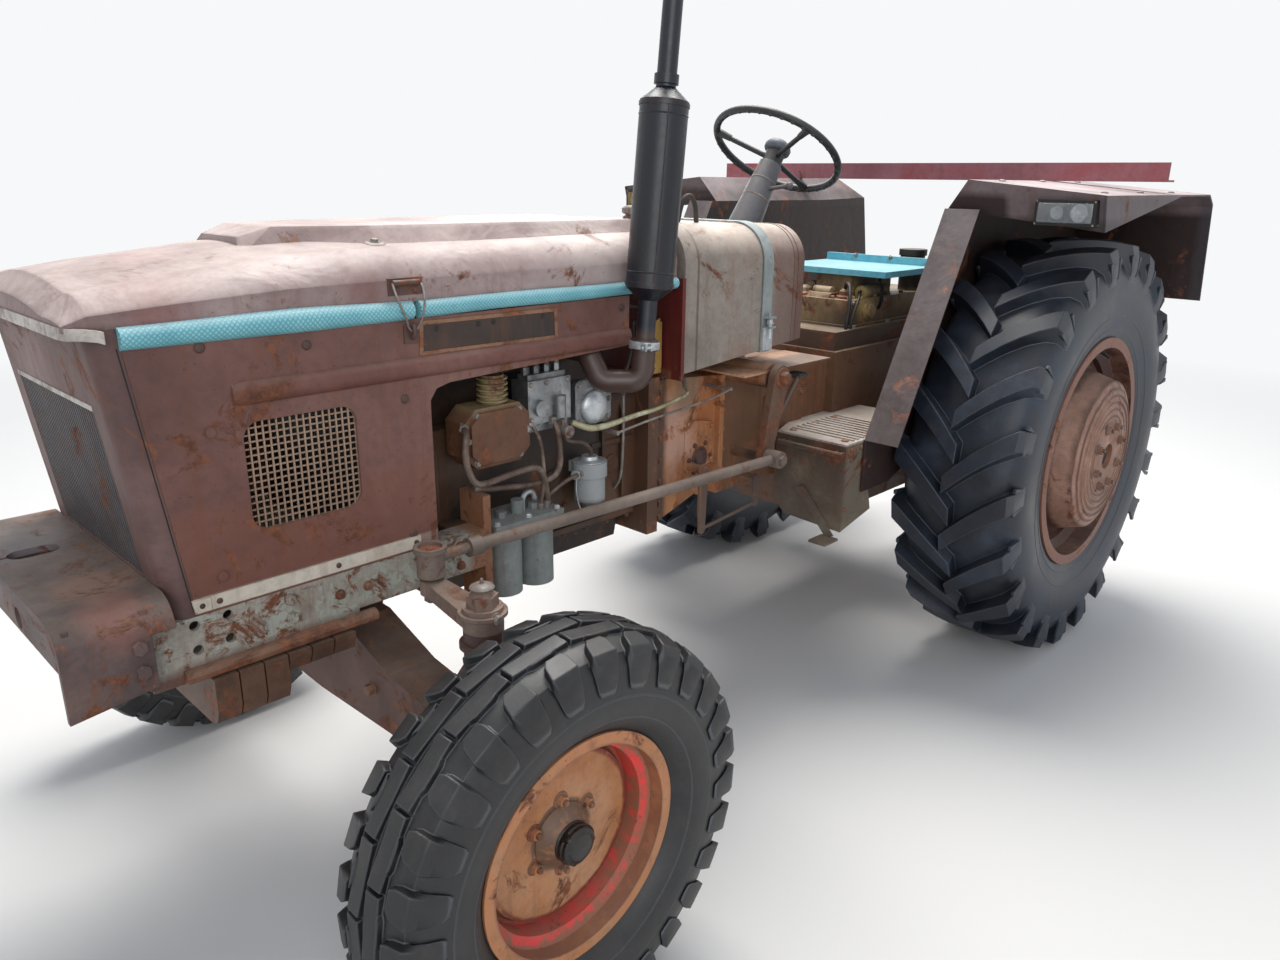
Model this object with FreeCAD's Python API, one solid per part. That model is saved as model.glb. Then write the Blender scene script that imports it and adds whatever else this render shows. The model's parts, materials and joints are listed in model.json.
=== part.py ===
import FreeCAD, Part
import math
import os

# Farm tractor, two-wheel drive, with a front axle on kingpins and a three-point hitch.
# Millimetres, +X forward, +Y to the driver's left, +Z up, floor at z = 0.
# Every place below is measured from the rear axle's centre line (x = 0); the export
# at the end moves the whole tractor along X so that its box is centred on x = 0.

V = FreeCAD.Vector

# Clearances
RUN_GAP = 0.3            # between a pin or shaft and its bore, and between seated faces
LINK_GAP = 0.6           # between hitch bars that pass side by side
LINK_DRIFT = 1.8         # the drag link's rear eye stands this far off the drop arm

# Wheels: 14.9-28 rear tyres, 7.50-16 front tyres
WHEELBASE = 2262.0
REAR_TYRE_R = 685.0
REAR_TYRE_W = 378.0
REAR_TYRE_Y = 672.0      # middle plane of the left rear tyre
TYRE_FACETS = 20         # flats round each tyre
REAR_LUGS = 22           # on each side of the tread
LUG_HEIGHT = 38.0
LUG_HALF = 27.0          # half a lug's width along the tread
LUG_REACH = 168.0        # how far a lug runs round the tread between its ends
REAR_SEAT_R = 355.0      # rim bead seat
REAR_FLANGE_R = 381.0
REAR_FLANGE_T = 7.0
REAR_RIM_W = 338.0       # over the flanges
REAR_DISC_R = 258.0      # domed disc
REAR_FACE_Y = 892.0      # outer face of the disc's hub
REAR_HUB_R = 92.0
REAR_SHAFT_R = 44.0
REAR_HOLE_R = 42.0       # bore in the middle of the disc
REAR_RIDGES = 4
REAR_RIDGE_STEP = 20.0
REAR_NUTS = 8
REAR_NUT_CIRCLE = 102.0
FRONT_TYRE_R = 403.0
FRONT_TYRE_W = 205.0
FRONT_TYRE_Y = 762.0
FRONT_RIB_H = 13.0
FRONT_BAND_HALF = 34.0   # half the raised middle band
FRONT_SEAT_R = 202.0
FRONT_FLANGE_R = 221.0
FRONT_FLANGE_T = 5.0
FRONT_RIM_W = 140.0
FRONT_DISC_Y = 766.0     # outer face of the disc at the hub
FRONT_HUB_R = 52.0
FRONT_CAP_R = 35.0
FRONT_CAP_Y = 816.0      # outer end of the hub cap
FRONT_NUTS = 6
FRONT_NUT_CIRCLE = 72.0
NUT_R = 13.0

# Steering
KINGPIN_Y = 557.0
KINGPIN_R = 25.0
KING_HOUSING_R = 38.0
KING_RING_R = 46.0
KING_HOUSING_BOTTOM = FRONT_TYRE_R + 67.0
KING_HOUSING_TOP = FRONT_TYRE_R + 335.0
SPINDLE_R = 24.0
ARM_THICK = 30.0         # steering arm on top of the kingpin
BALL_X = WHEELBASE - 22.0
BALL_Y = 360.0
STUD_R = 11.0
CUP_R = 33.0             # rim of the drag link's front cup
LINK_R = 14.0            # drag link tube
LINK_Z = KING_HOUSING_TOP + 74.0

# Engine and drive line, from the engine's back face to the axle case
BLOCK_X0 = WHEELBASE - 782.0
BLOCK_LEN = 670.0
BLOCK_X1 = BLOCK_X0 + BLOCK_LEN
BLOCK_HALF_W = 178.0
SUMP_Z = 600.0
BLOCK_Z0 = 690.0
BLOCK_Z1 = 1010.0
HEAD_HALF_W = 120.0
HEAD_TOP = 1270.0
FAN_Z = 1040.0
FAN_R = 190.0
FAN_REACH = 40.0
PUMP_X0 = BLOCK_X0 + 290.0
PUMP_Z = 1040.0
COMPRESSOR_X = BLOCK_X0 + 509.0
COMPRESSOR_Z = 998.0
FILTER_X = BLOCK_X0 + 445.0
BOWL_X = BLOCK_X0 + 209.0
BOWL_Z = 774.0
FILTER_Z = 770.0
BELL_FLANGE_T = 40.0
BELL_X1 = BLOCK_X0 - BELL_FLANGE_T
BELL_LEN = 310.0
BELL_X0 = BELL_X1 - BELL_LEN
BELL_TOP = 1046.0
BELL_LOW = 622.0
BULKHEAD_TOP = 1300.0
BEARER_X0 = BELL_X1 - 60.0
GEAR_X0 = 560.0
GEAR_HALF_W = 160.0
GEAR_Z0 = 640.0
GEAR_Z1 = 980.0
AXLE_CASE_X0 = -230.0
AXLE_CASE_HALF_W = 190.0
AXLE_CASE_Z0 = 430.0
AXLE_CASE_Z1 = 1000.0
TRUMPET_R = 85.0
TRUMPET_END_Y = 600.0

# Fuel tank
TANK_X1 = BELL_X1 - 10.0
TANK_LEN = 505.0
TANK_X0 = TANK_X1 - TANK_LEN
TANK_HALF_W = 296.0
TANK_TOP = 1430.0
TANK_FRONT_LOW = 1061.0
TANK_REAR_LOW = 1100.0
TANK_FALL = 16.0         # how much lower the tank's top is at its rear
TANK_EDGE_R = 100.0
TUNNEL_R = 50.0
TANK_SEAMS = (28.0, 46.0)   # welded seams, from the tank's rear
STRAP_X = TANK_X0 + 172.0
STRAP_W = 40.0
STRAP_T = 4.0

# Steering wheel, column and drop arms
WHEEL_X = TANK_X0 - 243.0   # centre of the steering wheel's rim
WHEEL_Z = 1619.0
WHEEL_TILT = 34.0        # degrees that the column leans back
WHEEL_RIM_R = 200.0
WHEEL_GRIP_R = 11.0
WHEEL_HUB_DROP = 52.0    # from the rim's plane down to the hub's foot
COLUMN_R = 24.0
COWL_TOP_R = 36.0
COWL_LOW_R = 52.0
COWL_LEN = 250.0
LINK_REAR_X = BELL_X0
DROP_PIVOT_X = BELL_X0 - 52.0
DROP_PIVOT_Z = 1012.0
DROP_PIN_Z = 796.0
DROP_Y0 = 330.0          # inner face of the drop arm
DROP_THICK = 22.0
DROP_ROOM = 112.0        # kept free in the footplate behind the drag link's rear eye
CROSS_SHAFT_R = 18.0

# Shelf, pedal and levers beside the gearbox
SHELF_Z = 1030.0
SHELF_X0 = BELL_X0 - 337.0
SHELF_X1 = BELL_X0 + 77.0
PEDAL_Y = 300.0
PEDAL_TOP = (BELL_X0 - 204.0, 983.0)
PEDAL_FOOT = (BELL_X0 - 93.0, 757.0)
LEVER_Y = 244.0
ARCH_W = 130.0
ARCH_TOP = 755.0

# Front frame
RAIL_Y = 288.0           # outer face of the rails
RAIL_T = 10.0
RAIL_FLANGE = 60.0
RAIL_Z0 = 720.0
RAIL_Z1 = 805.0
RAIL_X0 = WHEELBASE - 208.0
RAIL_LEN = 696.0
RAIL_X1 = RAIL_X0 + RAIL_LEN
RAIL_HOLES = ((409.0, 789.0), (351.0, 791.0), (351.0, 746.0), (408.0, 743.0))   # ahead of the axle, height
RAIL_BOLTS = ((239.0, 785.0), (299.0, 745.0), (237.0, 748.0))
RAIL_HOLE_R = 9.0
POST_Z0 = 605.0
POST_Z1 = 878.0
POST_T = 20.0
ANGLE_LEG = 32.0
ANGLE_T = 8.0
PIVOT_Z = FRONT_TYRE_R + 157.0   # axle pivot pin
PIVOT_R = 26.0
BEAM_HALF = 55.0         # half the beam's width along X
EAR_T = 24.0

# Ballast slabs under the rails, counted from the front
SLAB_X1 = RAIL_X1 - 90.0
SLAB_T = 43.0
SLAB_STEP = 46.0
SLAB_COUNT = 6
SLAB_DEEP = 3            # this many reach lower than the rest
SLAB_HALF_W = 312.0
SLAB_DEEP_Z = 589.0
SLAB_SHALLOW_Z = 640.0
SLAB_ROD_Y = 200.0
SLAB_ROD_Z = 665.0

# Front bumper
BUMPER_HALF_W = 330.0
BUMPER_X0 = RAIL_X1 - 36.0
BUMPER_X1 = BUMPER_X0 + 174.0
BUMPER_TOP = 868.0
BUMPER_T = 12.0
BUMPER_BEND_R = 52.0
BUMPER_LOW = 706.0
BUMPER_INSET = 14.0      # from the top plate's front edge back to the front plate
BUMPER_PLATE_H = 96.0
BUMPER_HOLE_X = (BUMPER_X1 - 92.0, BUMPER_X1 - 55.0)
BUMPER_HOLE_Y = -53.0
BUMPER_HOLE_R = 24.0
BUMPER_BOLT_Z = (801.0, 757.0)

# Nose, bonnet and panels
SHEET = 5.0
PANEL_Y = 288.0
PANEL_TOP = 1272.0
HOSE_R = 16.0
HOSE_JOINT_X = WHEELBASE
BONNET_LOW = PANEL_TOP + 2.0 * HOSE_R
BONNET_REAR_X = TANK_X1 + 22.0
NOSE_LEAN = 60.0         # how much further forward the nose is at its top than at its foot
NOSE_FOOT_X = WHEELBASE + 444.0   # front face at the rail top
NOSE_DEPTH = 42.0
NOSE_CORNER_R = 36.0
LIP_X = NOSE_FOOT_X + 90.0       # front edge of the bonnet
STEP_X = NOSE_FOOT_X - 260.0     # foot of the bonnet's raised panel
SCOOP_LOW = 1385.0
LOWER_PANEL_LEN = 492.0
WINDOW_X = NOSE_FOOT_X - NOSE_DEPTH - LOWER_PANEL_LEN   # rear edge of the lower panel
WINDOW_TOP = 1138.0
PANEL_REAR_X = BLOCK_X0 + 136.0
MESH_W = 213.0
MESH_H = 196.0
MESH_X1 = NOSE_FOOT_X - NOSE_DEPTH - 115.0
MESH_X0 = MESH_X1 - MESH_W
MESH_Z0 = RAIL_Z1 + 125.0
MESH_Z1 = MESH_Z0 + MESH_H
MESH_CORNER = 30.0
MESH_COLUMNS = 17
MESH_ROWS = 16
GRILLE_HALF_W = 206.0
GRILLE_Z0 = RAIL_Z1 + 67.0
GRILLE_Z1 = GRILLE_Z0 + 293.0
GRILLE_RIBS = 34
RADIATOR_X0 = WHEELBASE - 50.0
RADIATOR_X1 = RADIATOR_X0 + 80.0
RADIATOR_TOP = 1262.0

# Exhaust
PIPE_Y = 360.0
SILENCER_R = 54.0
SILENCER_FOOT = (BLOCK_X0 + 148.0, 1268.0)
SILENCER_HEAD = (BLOCK_X0 + 102.0, 1720.0)
STACK_TOP = 2150.0
STACK_R = 22.0
ELBOW_R = 27.0
MANIFOLD_Y = 190.0
MANIFOLD_Z = 1148.0
ELBOW_Z = 1084.0

# Fenders, kept one gap outside the rear tyre
FENDER_IN_Y = 460.0
FENDER_OUT_Y = 915.0
FENDER_RIDGE_Y = 520.0
FENDER_SHOULDER_Z = 2.0 * REAR_TYRE_R + 87.0
FENDER_RIDGE_Z = FENDER_SHOULDER_Z + 84.0
FENDER_OUT_Z = FENDER_SHOULDER_Z + 46.0
FENDER_GAP = 66.0
FLANGE_LEAN = math.radians(28.05)
FENDER_T = 5.0
FLANGE_W = 105.0
LAMP_Y0 = 728.0
LAMP_Y1 = 895.0
LAMP_Z0 = FENDER_SHOULDER_Z - 37.0
LAMP_Z1 = LAMP_Z0 + 70.0
LAMP_DEPTH = 70.0
TIE_X = -150.0
TIE_Y0 = -870.0
TIE_Y1 = 890.0
TIE_LEG = 58.0
TIE_T = 6.0


def flange_x(z):
    """Front face of the fender at height z: a straight line that clears the tyre by the gap."""
    reach = REAR_TYRE_R + FENDER_GAP
    return (reach - (z - REAR_TYRE_R) * math.sin(FLANGE_LEAN)) / math.cos(FLANGE_LEAN)


# Footplates, step guards and seat
FOOT_Z = 800.0
FOOT_X0 = 390.0
FOOT_X1 = flange_x(FOOT_Z) + 88.0
FOOT_IN_Y = 206.0        # inner end of the plate's front edge
FOOT_OUT_Y = 450.0
FOOT_T = 6.0
FOOT_RIB_STEP = 26.0
GUARD_Z = 530.0
GUARD_T = 6.0
FENDER_FRONT_X = flange_x(FENDER_SHOULDER_Z)
SEAT_X0 = 0.0
SEAT_X1 = 350.0
SEAT_HALF_W = 225.0
SEAT_Z0 = 1226.0
SEAT_T = 20.0

# Three-point hitch
ARM_PIVOT = (-160.0, 1060.0)
ARM_LEN = 290.0
ARM_DROP = 5.0           # degrees below level at rest
LOWER_PIVOT = (-160.0, 470.0)
LOWER_LEN = 820.0
LOWER_DROP = 8.0
ROD_AT = 450.0           # where the lift rod meets the lower link, from its pivot
HITCH_Y = 305.0          # inner face of the lift rods
HITCH_BAR = 20.0
HITCH_PIN_R = 12.0
LIFT_SHAFT_R = 30.0
LOWER_PIN_R = 14.0
LINK_BALL_R = 14.3
DRAWBAR_Z = 385.0
DRAWBAR_X0 = -520.0
DRAWBAR_PIN_R = 13.5
PTO_Z = 560.0
PTO_R = 17.4
TOP_PIN_R = 13.0
LIFT_TOP = 1150.0
LIFT_POT_TOP = 1297.0


def box(x0, x1, y0, y1, z0, z1):
    return Part.makeBox(x1 - x0, y1 - y0, z1 - z0, V(x0, y0, z0))


def flat(corners):
    return Part.Face(Part.makePolygon(corners + corners[:1]))


def prism(points, direction):
    return flat([V(*p) for p in points]).extrude(V(*direction))


def prism_y(outline_xz, y0, y1):
    return prism([(x, y0, z) for x, z in outline_xz], (0, y1 - y0, 0))


def prism_x(outline_yz, x0, x1):
    return prism([(x0, y, z) for y, z in outline_yz], (x1 - x0, 0, 0))


def prism_z(outline_xy, z0, z1):
    return prism([(x, y, z0) for x, y in outline_xy], (0, 0, z1 - z0))


def rod(start, end, radius):
    a = V(*start)
    b = V(*end)
    return Part.makeCylinder(radius, (b - a).Length, a, b - a)


def cone(start, end, r_start, r_end):
    a = V(*start)
    b = V(*end)
    return Part.makeCone(r_start, r_end, (b - a).Length, a, b - a)


def hex_nut(start, end, radius):
    """Six-sided nut or bolt head along the line from start to end."""
    a = V(*start)
    along = V(*end) - a
    across = along.cross(V(1, 0, 0)) if abs(along.x) < 0.9 * along.Length else along.cross(V(0, 0, 1))
    across.normalize()
    third = along.cross(across).normalize()
    corners = []
    for n in range(6):
        turn = math.tau * n / 6
        corners.append(a + across * (radius * math.cos(turn)) + third * (radius * math.sin(turn)))
    return flat(corners).extrude(along)


def fuse(pieces):
    if len(pieces) == 1:
        return pieces[0]
    return pieces[0].multiFuse(pieces[1:]).removeSplitter()


def mirrored(shape):
    return shape.mirror(V(0, 0, 0), V(0, 1, 0))


def pair(shape):
    return Part.Compound([shape, mirrored(shape)])


def spun(outline_ry, x, z):
    """Revolve an outline of (radius, y) points about the line along Y through (x, z)."""
    face = flat([V(x, y, z + r) for r, y in outline_ry])
    return face.revolve(V(x, 0, z), V(0, 1, 0), 360)


def closed(faces):
    """Solid from flat faces that meet along their edges."""
    shell = Part.Shell(faces)
    shell.sewShape()
    solid = Part.Solid(shell)
    if solid.Volume < 0:
        solid.reverse()
    return solid


def block(low, high):
    """Solid between two rings of four corners each, with its faces split into triangles."""
    faces = []
    for i in range(4):
        j = (i + 1) % 4
        faces.append(flat([low[i], low[j], high[j]]))
        faces.append(flat([low[i], high[j], high[i]]))
    for ring in (low, high):
        faces.append(flat([ring[0], ring[1], ring[2]]))
        faces.append(flat([ring[0], ring[2], ring[3]]))
    return closed(faces)


def bent_pipe(points, radius, bend):
    """A round bar along straight runs joined by arcs of one bend radius."""
    corners = [V(*p) for p in points]
    edges = []
    last = corners[0]
    for before, corner, after in zip(corners, corners[1:], corners[2:]):
        back = (before - corner).normalize()
        ahead = (after - corner).normalize()
        half = back.getAngle(ahead) / 2.0
        reach = bend / math.tan(half)
        start = corner + back * reach
        end = corner + ahead * reach
        middle_way = (back + ahead).normalize()
        middle = corner + middle_way * (bend / math.sin(half) - bend)
        edges.append(Part.LineSegment(last, start).toShape())
        edges.append(Part.Arc(start, middle, end).toShape())
        last = end
    edges.append(Part.LineSegment(last, corners[-1]).toShape())
    path = Part.Wire(edges)
    ring = Part.Wire([Part.makeCircle(radius, corners[0], corners[1] - corners[0])])
    return path.makePipeShell([ring], True, False)


def link_plate(x0, z0, x1, z1, r0, r1, y0, y1):
    """A flat bar along XZ with a round eye at each end."""
    a = V(x0, y0, z0)
    b = V(x1, y0, z1)
    along = (b - a).normalize()
    side = V(along.z, 0, -along.x)
    web = flat([a + side * r0, b + side * r1, b - side * r1, a - side * r0]).extrude(V(0, y1 - y0, 0))
    return fuse([web, rod((x0, y0, z0), (x0, y1, z0), r0), rod((x1, y0, z1), (x1, y1, z1), r1)])


# Wheels

def ring_corner(x, centre_z, radius, y, turn):
    return V(x + radius * math.cos(turn), y, centre_z + radius * math.sin(turn))


def faceted_ring(half_outline, middle_y, x, centre_z):
    """Ring of flat faces. Its outline is (radius, distance from the middle plane) from the
    inside out, and the first two radii are clear of the round rim between their corners."""
    opened = [(r / math.cos(math.pi / TYRE_FACETS), d) for r, d in half_outline[:2]] + half_outline[2:]
    outline = [(r, middle_y - d) for r, d in opened] + [(r, middle_y + d) for r, d in reversed(opened)]
    rings = []
    for n in range(TYRE_FACETS):
        turn = math.tau * n / TYRE_FACETS - math.pi / 2.0
        rings.append([ring_corner(x, centre_z, r, y, turn) for r, y in outline])
    faces = []
    for here, there in zip(rings, rings[1:] + rings[:1]):
        for i in range(len(outline)):
            j = (i + 1) % len(outline)
            faces.append(flat([here[i], here[j], there[j], there[i]]))
    return closed(faces)


def rear_tyre():
    """Flat-faced carcass with a row of slanting lugs on each side of its middle."""
    half = REAR_TYRE_W / 2.0
    bead = REAR_RIM_W / 2.0 - REAR_FLANGE_T - RUN_GAP
    tread = REAR_TYRE_R - LUG_HEIGHT
    pieces = [faceted_ring([
        (REAR_SEAT_R + RUN_GAP, bead), (REAR_FLANGE_R + RUN_GAP, bead), (REAR_FLANGE_R + 115.0, half),
        (tread - 15.0, half - 24.0),
    ], REAR_TYRE_Y, 0.0, REAR_TYRE_R)]
    half_turn = LUG_HALF / REAR_TYRE_R
    reach = LUG_REACH / REAR_TYRE_R
    for hand in (1, -1):
        for n in range(REAR_LUGS):
            middle = math.tau * (n + (0.5 if hand < 0 else 0.0)) / REAR_LUGS - math.pi / 2.0 - half_turn

            def corner(radius, out, turn):
                return ring_corner(0.0, REAR_TYRE_R, radius, REAR_TYRE_Y + hand * out, middle + turn)

            def ends(inner_r, outer_r, inner_out, outer_out, spread):
                return [corner(inner_r, inner_out, -half_turn - spread), corner(inner_r, inner_out, half_turn + spread),
                        corner(outer_r, outer_out, reach + half_turn + spread),
                        corner(outer_r, outer_out, reach - half_turn - spread)]
            low = ends(tread - 44.0, REAR_TYRE_R - 130.0, -14.0, half - 15.0, 0.014)
            high = ends(REAR_TYRE_R, REAR_TYRE_R - 17.0, -14.0, half - 7.0, 0.0)
            pieces.append(block(low, high))
    return fuse(pieces)


def rear_rim():
    """Welded steel rim with a ridged disc that domes outward, on its half shaft."""
    y0 = REAR_TYRE_Y - REAR_RIM_W / 2.0
    y1 = REAR_TYRE_Y + REAR_RIM_W / 2.0
    wall = REAR_FLANGE_T
    well = REAR_SEAT_R - 28.0
    face = REAR_FACE_Y
    barrel = spun([
        (REAR_FLANGE_R, y0), (REAR_FLANGE_R, y0 + wall), (REAR_SEAT_R, y0 + wall),
        (REAR_SEAT_R, y0 + 60.0), (well, y0 + 80.0), (well, y1 - 80.0),
        (REAR_SEAT_R, y1 - 60.0), (REAR_SEAT_R, y1 - wall), (REAR_FLANGE_R, y1 - wall),
        (REAR_FLANGE_R, y1), (REAR_SEAT_R - wall, y1), (REAR_SEAT_R - wall, y1 - 56.0),
        (well - wall, y1 - 76.0), (well - wall, y0 + 76.0), (REAR_SEAT_R - wall, y0 + 56.0),
        (REAR_SEAT_R - wall, y0),
    ], 0.0, REAR_TYRE_R)
    ridges = []
    for n in range(REAR_RIDGES):
        r = REAR_DISC_R - 52.0 - n * REAR_RIDGE_STEP
        ridges += [(r, face - 7.0 + n), (r - 5.0, face - 2.0 + n * 0.5), (r - 10.0, face - 6.0 + n)]
    disc = spun([
        (well - wall, y1 - 96.0), (REAR_DISC_R + 14.0, y1 - 60.0), (REAR_DISC_R, y1 - 20.0),
        (REAR_DISC_R - 14.0, face - 22.0), (REAR_DISC_R - 44.0, face - 8.0),
    ] + ridges + [
        (REAR_NUT_CIRCLE + NUT_R + 4.0, face - 3.0), (REAR_NUT_CIRCLE + NUT_R, face),
        (REAR_HOLE_R, face), (REAR_HOLE_R, face - 20.0), (0.0, face - 20.0), (0.0, face - 30.0),
        (REAR_HUB_R, face - 12.0 - wall), (REAR_DISC_R - 56.0, face - 16.0 - wall),
        (REAR_DISC_R - 22.0, face - 34.0), (REAR_DISC_R - 9.0, y1 - 28.0),
        (REAR_DISC_R + 8.0, y1 - 70.0), (well - wall, y1 - 110.0),
    ], 0.0, REAR_TYRE_R)
    hub_y = TRUMPET_END_Y + RUN_GAP
    z = REAR_TYRE_R
    pieces = [
        barrel, disc,
        rod((0.0, TRUMPET_END_Y - 60.0, z), (0.0, face - 22.0, z), REAR_SHAFT_R),
        rod((0.0, hub_y, z), (0.0, hub_y + 60.0, z), REAR_HUB_R),
        rod((0.0, face - 50.0, z), (0.0, face - 14.0, z), REAR_HUB_R + 20.0),
    ]
    for n in range(REAR_NUTS):
        turn = math.tau * (n + 0.5) / REAR_NUTS
        x = REAR_NUT_CIRCLE * math.cos(turn)
        up = REAR_NUT_CIRCLE * math.sin(turn)
        pieces.append(hex_nut((x, face - 4.0, z + up), (x, face + 14.0, z + up), NUT_R))
    return fuse(pieces)


def front_tyre():
    """Flat-faced carcass with a raised middle band and a row of blocks on each shoulder."""
    half = FRONT_TYRE_W / 2.0
    bead = FRONT_RIM_W / 2.0 - FRONT_FLANGE_T - RUN_GAP
    tread = FRONT_TYRE_R - FRONT_RIB_H
    pieces = [faceted_ring([
        (FRONT_SEAT_R + RUN_GAP, bead), (FRONT_FLANGE_R + RUN_GAP, bead), (FRONT_FLANGE_R + 62.0, half),
        (tread - 4.0, half - 16.0), (tread, FRONT_BAND_HALF + 5.0), (FRONT_TYRE_R, FRONT_BAND_HALF),
    ], FRONT_TYRE_Y, WHEELBASE, FRONT_TYRE_R)]
    step = math.tau / TYRE_FACETS
    for hand in (1, -1):
        for n in range(TYRE_FACETS):
            middle = step * (n + 0.5) - math.pi / 2.0

            def corner(radius, out, turn):
                return ring_corner(WHEELBASE, FRONT_TYRE_R, radius, FRONT_TYRE_Y + hand * out, middle + turn)

            def ends(inner_r, outer_r, inner_out, outer_out, inner_turn, outer_turn):
                return [corner(inner_r, inner_out, -inner_turn), corner(inner_r, inner_out, inner_turn),
                        corner(outer_r, outer_out, outer_turn), corner(outer_r, outer_out, -outer_turn)]
            low = ends(tread - 24.0, FRONT_TYRE_R - 58.0, 58.0, half - 12.0, 0.36 * step, 0.26 * step)
            high = ends(FRONT_TYRE_R - 3.0, FRONT_TYRE_R - 10.0, 62.0, half - 9.0, 0.32 * step, 0.22 * step)
            pieces.append(block(low, high))
    return fuse(pieces)


def front_rim():
    """Steel rim with a flat disc, its six nuts, and a turned hub with a cap."""
    y0 = FRONT_TYRE_Y - FRONT_RIM_W / 2.0
    y1 = FRONT_TYRE_Y + FRONT_RIM_W / 2.0
    wall = FRONT_FLANGE_T
    well = FRONT_SEAT_R - 18.0
    face = FRONT_DISC_Y
    barrel = spun([
        (FRONT_FLANGE_R, y0), (FRONT_FLANGE_R, y0 + wall), (FRONT_SEAT_R, y0 + wall),
        (FRONT_SEAT_R, y0 + 34.0), (well, y0 + 46.0), (well, y1 - 46.0),
        (FRONT_SEAT_R, y1 - 34.0), (FRONT_SEAT_R, y1 - wall), (FRONT_FLANGE_R, y1 - wall),
        (FRONT_FLANGE_R, y1), (FRONT_SEAT_R - wall, y1), (FRONT_SEAT_R - wall, y1 - 31.0),
        (well - wall, y1 - 43.0), (well - wall, y0 + 43.0), (FRONT_SEAT_R - wall, y0 + 31.0),
        (FRONT_SEAT_R - wall, y0),
    ], WHEELBASE, FRONT_TYRE_R)
    step_r = well - 13.0
    disc = spun([
        (well - wall, face - 16.0), (step_r, face - 14.0), (step_r - 6.0, face), (FRONT_HUB_R, face),
        (FRONT_HUB_R, face - 8.0), (step_r - 8.0, face - 8.0), (step_r - 2.0, face - 22.0),
        (well - wall, face - 24.0),
    ], WHEELBASE, FRONT_TYRE_R)
    foot = FRONT_HUB_R + 10.0
    hub = spun([
        (SPINDLE_R + RUN_GAP, KINGPIN_Y + 62.0), (FRONT_HUB_R + 8.0, KINGPIN_Y + 62.0),
        (FRONT_HUB_R + 8.0, KINGPIN_Y + 80.0), (FRONT_HUB_R, KINGPIN_Y + 92.0),
        (FRONT_HUB_R, face - 6.0), (foot, face - 2.0), (foot, face + 3.0), (FRONT_CAP_R + 5.0, face + 28.0),
        (FRONT_CAP_R, face + 28.0), (FRONT_CAP_R, FRONT_CAP_Y - 8.0), (FRONT_CAP_R - 10.0, FRONT_CAP_Y),
        (0.0, FRONT_CAP_Y), (0.0, FRONT_CAP_Y - 8.0), (SPINDLE_R + RUN_GAP, FRONT_CAP_Y - 8.0),
    ], WHEELBASE, FRONT_TYRE_R)
    pieces = [barrel, disc, hub]
    for n in range(FRONT_NUTS):
        turn = math.tau * n / FRONT_NUTS + math.pi / 2.0
        x = WHEELBASE + FRONT_NUT_CIRCLE * math.cos(turn)
        z = FRONT_TYRE_R + FRONT_NUT_CIRCLE * math.sin(turn)
        pieces.append(hex_nut((x, face - 3.0, z), (x, face + 12.0, z), NUT_R - 2.0))
    return fuse(pieces)


# Steering

def knuckle():
    """Kingpin with its stub axle below and the steering arm, ring and domed nut on top."""
    arm_z0 = KING_HOUSING_TOP + RUN_GAP
    arm_z1 = arm_z0 + ARM_THICK
    king = (WHEELBASE, KINGPIN_Y)
    hub_line = (WHEELBASE, KINGPIN_Y + 60.0, FRONT_TYRE_R)
    pieces = [
        rod(king + (FRONT_TYRE_R,), king + (arm_z1 + 30.0,), KINGPIN_R),
        rod(king + (arm_z0,), king + (arm_z1 + 16.0,), KING_HOUSING_R),
        rod(king + (arm_z1,), king + (arm_z1 + 7.0,), KING_RING_R),
        hex_nut(king + (arm_z1 + 16.0,), king + (arm_z1 + 38.0,), 30.0),
        cone(king + (arm_z1 + 38.0,), king + (arm_z1 + 52.0,), 24.0, 12.0),
        rod(king + (FRONT_TYRE_R - 52.0,), king + (KING_HOUSING_BOTTOM - RUN_GAP,), KING_HOUSING_R + 4.0),
        rod(king + (FRONT_TYRE_R,), (WHEELBASE, FRONT_CAP_Y - 14.0, FRONT_TYRE_R), SPINDLE_R),
        rod(king + (FRONT_TYRE_R,), hub_line, 40.0),
    ]
    ball = V(BALL_X, BALL_Y, arm_z0)
    root = V(WHEELBASE, KINGPIN_Y, arm_z0)
    along = (ball - root).normalize()
    side = V(-along.y, along.x, 0)
    arm = flat([root + side * 32.0, ball + side * 20.0, ball - side * 20.0, root - side * 32.0])
    pieces.append(arm.extrude(V(0, 0, ARM_THICK)))
    pieces.append(Part.makeCylinder(24.0, ARM_THICK, ball))
    hole = Part.makeCylinder(STUD_R + RUN_GAP, ARM_THICK + 2.0, ball - V(0, 0, 1.0))
    return fuse(pieces).cut(hole)


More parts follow.
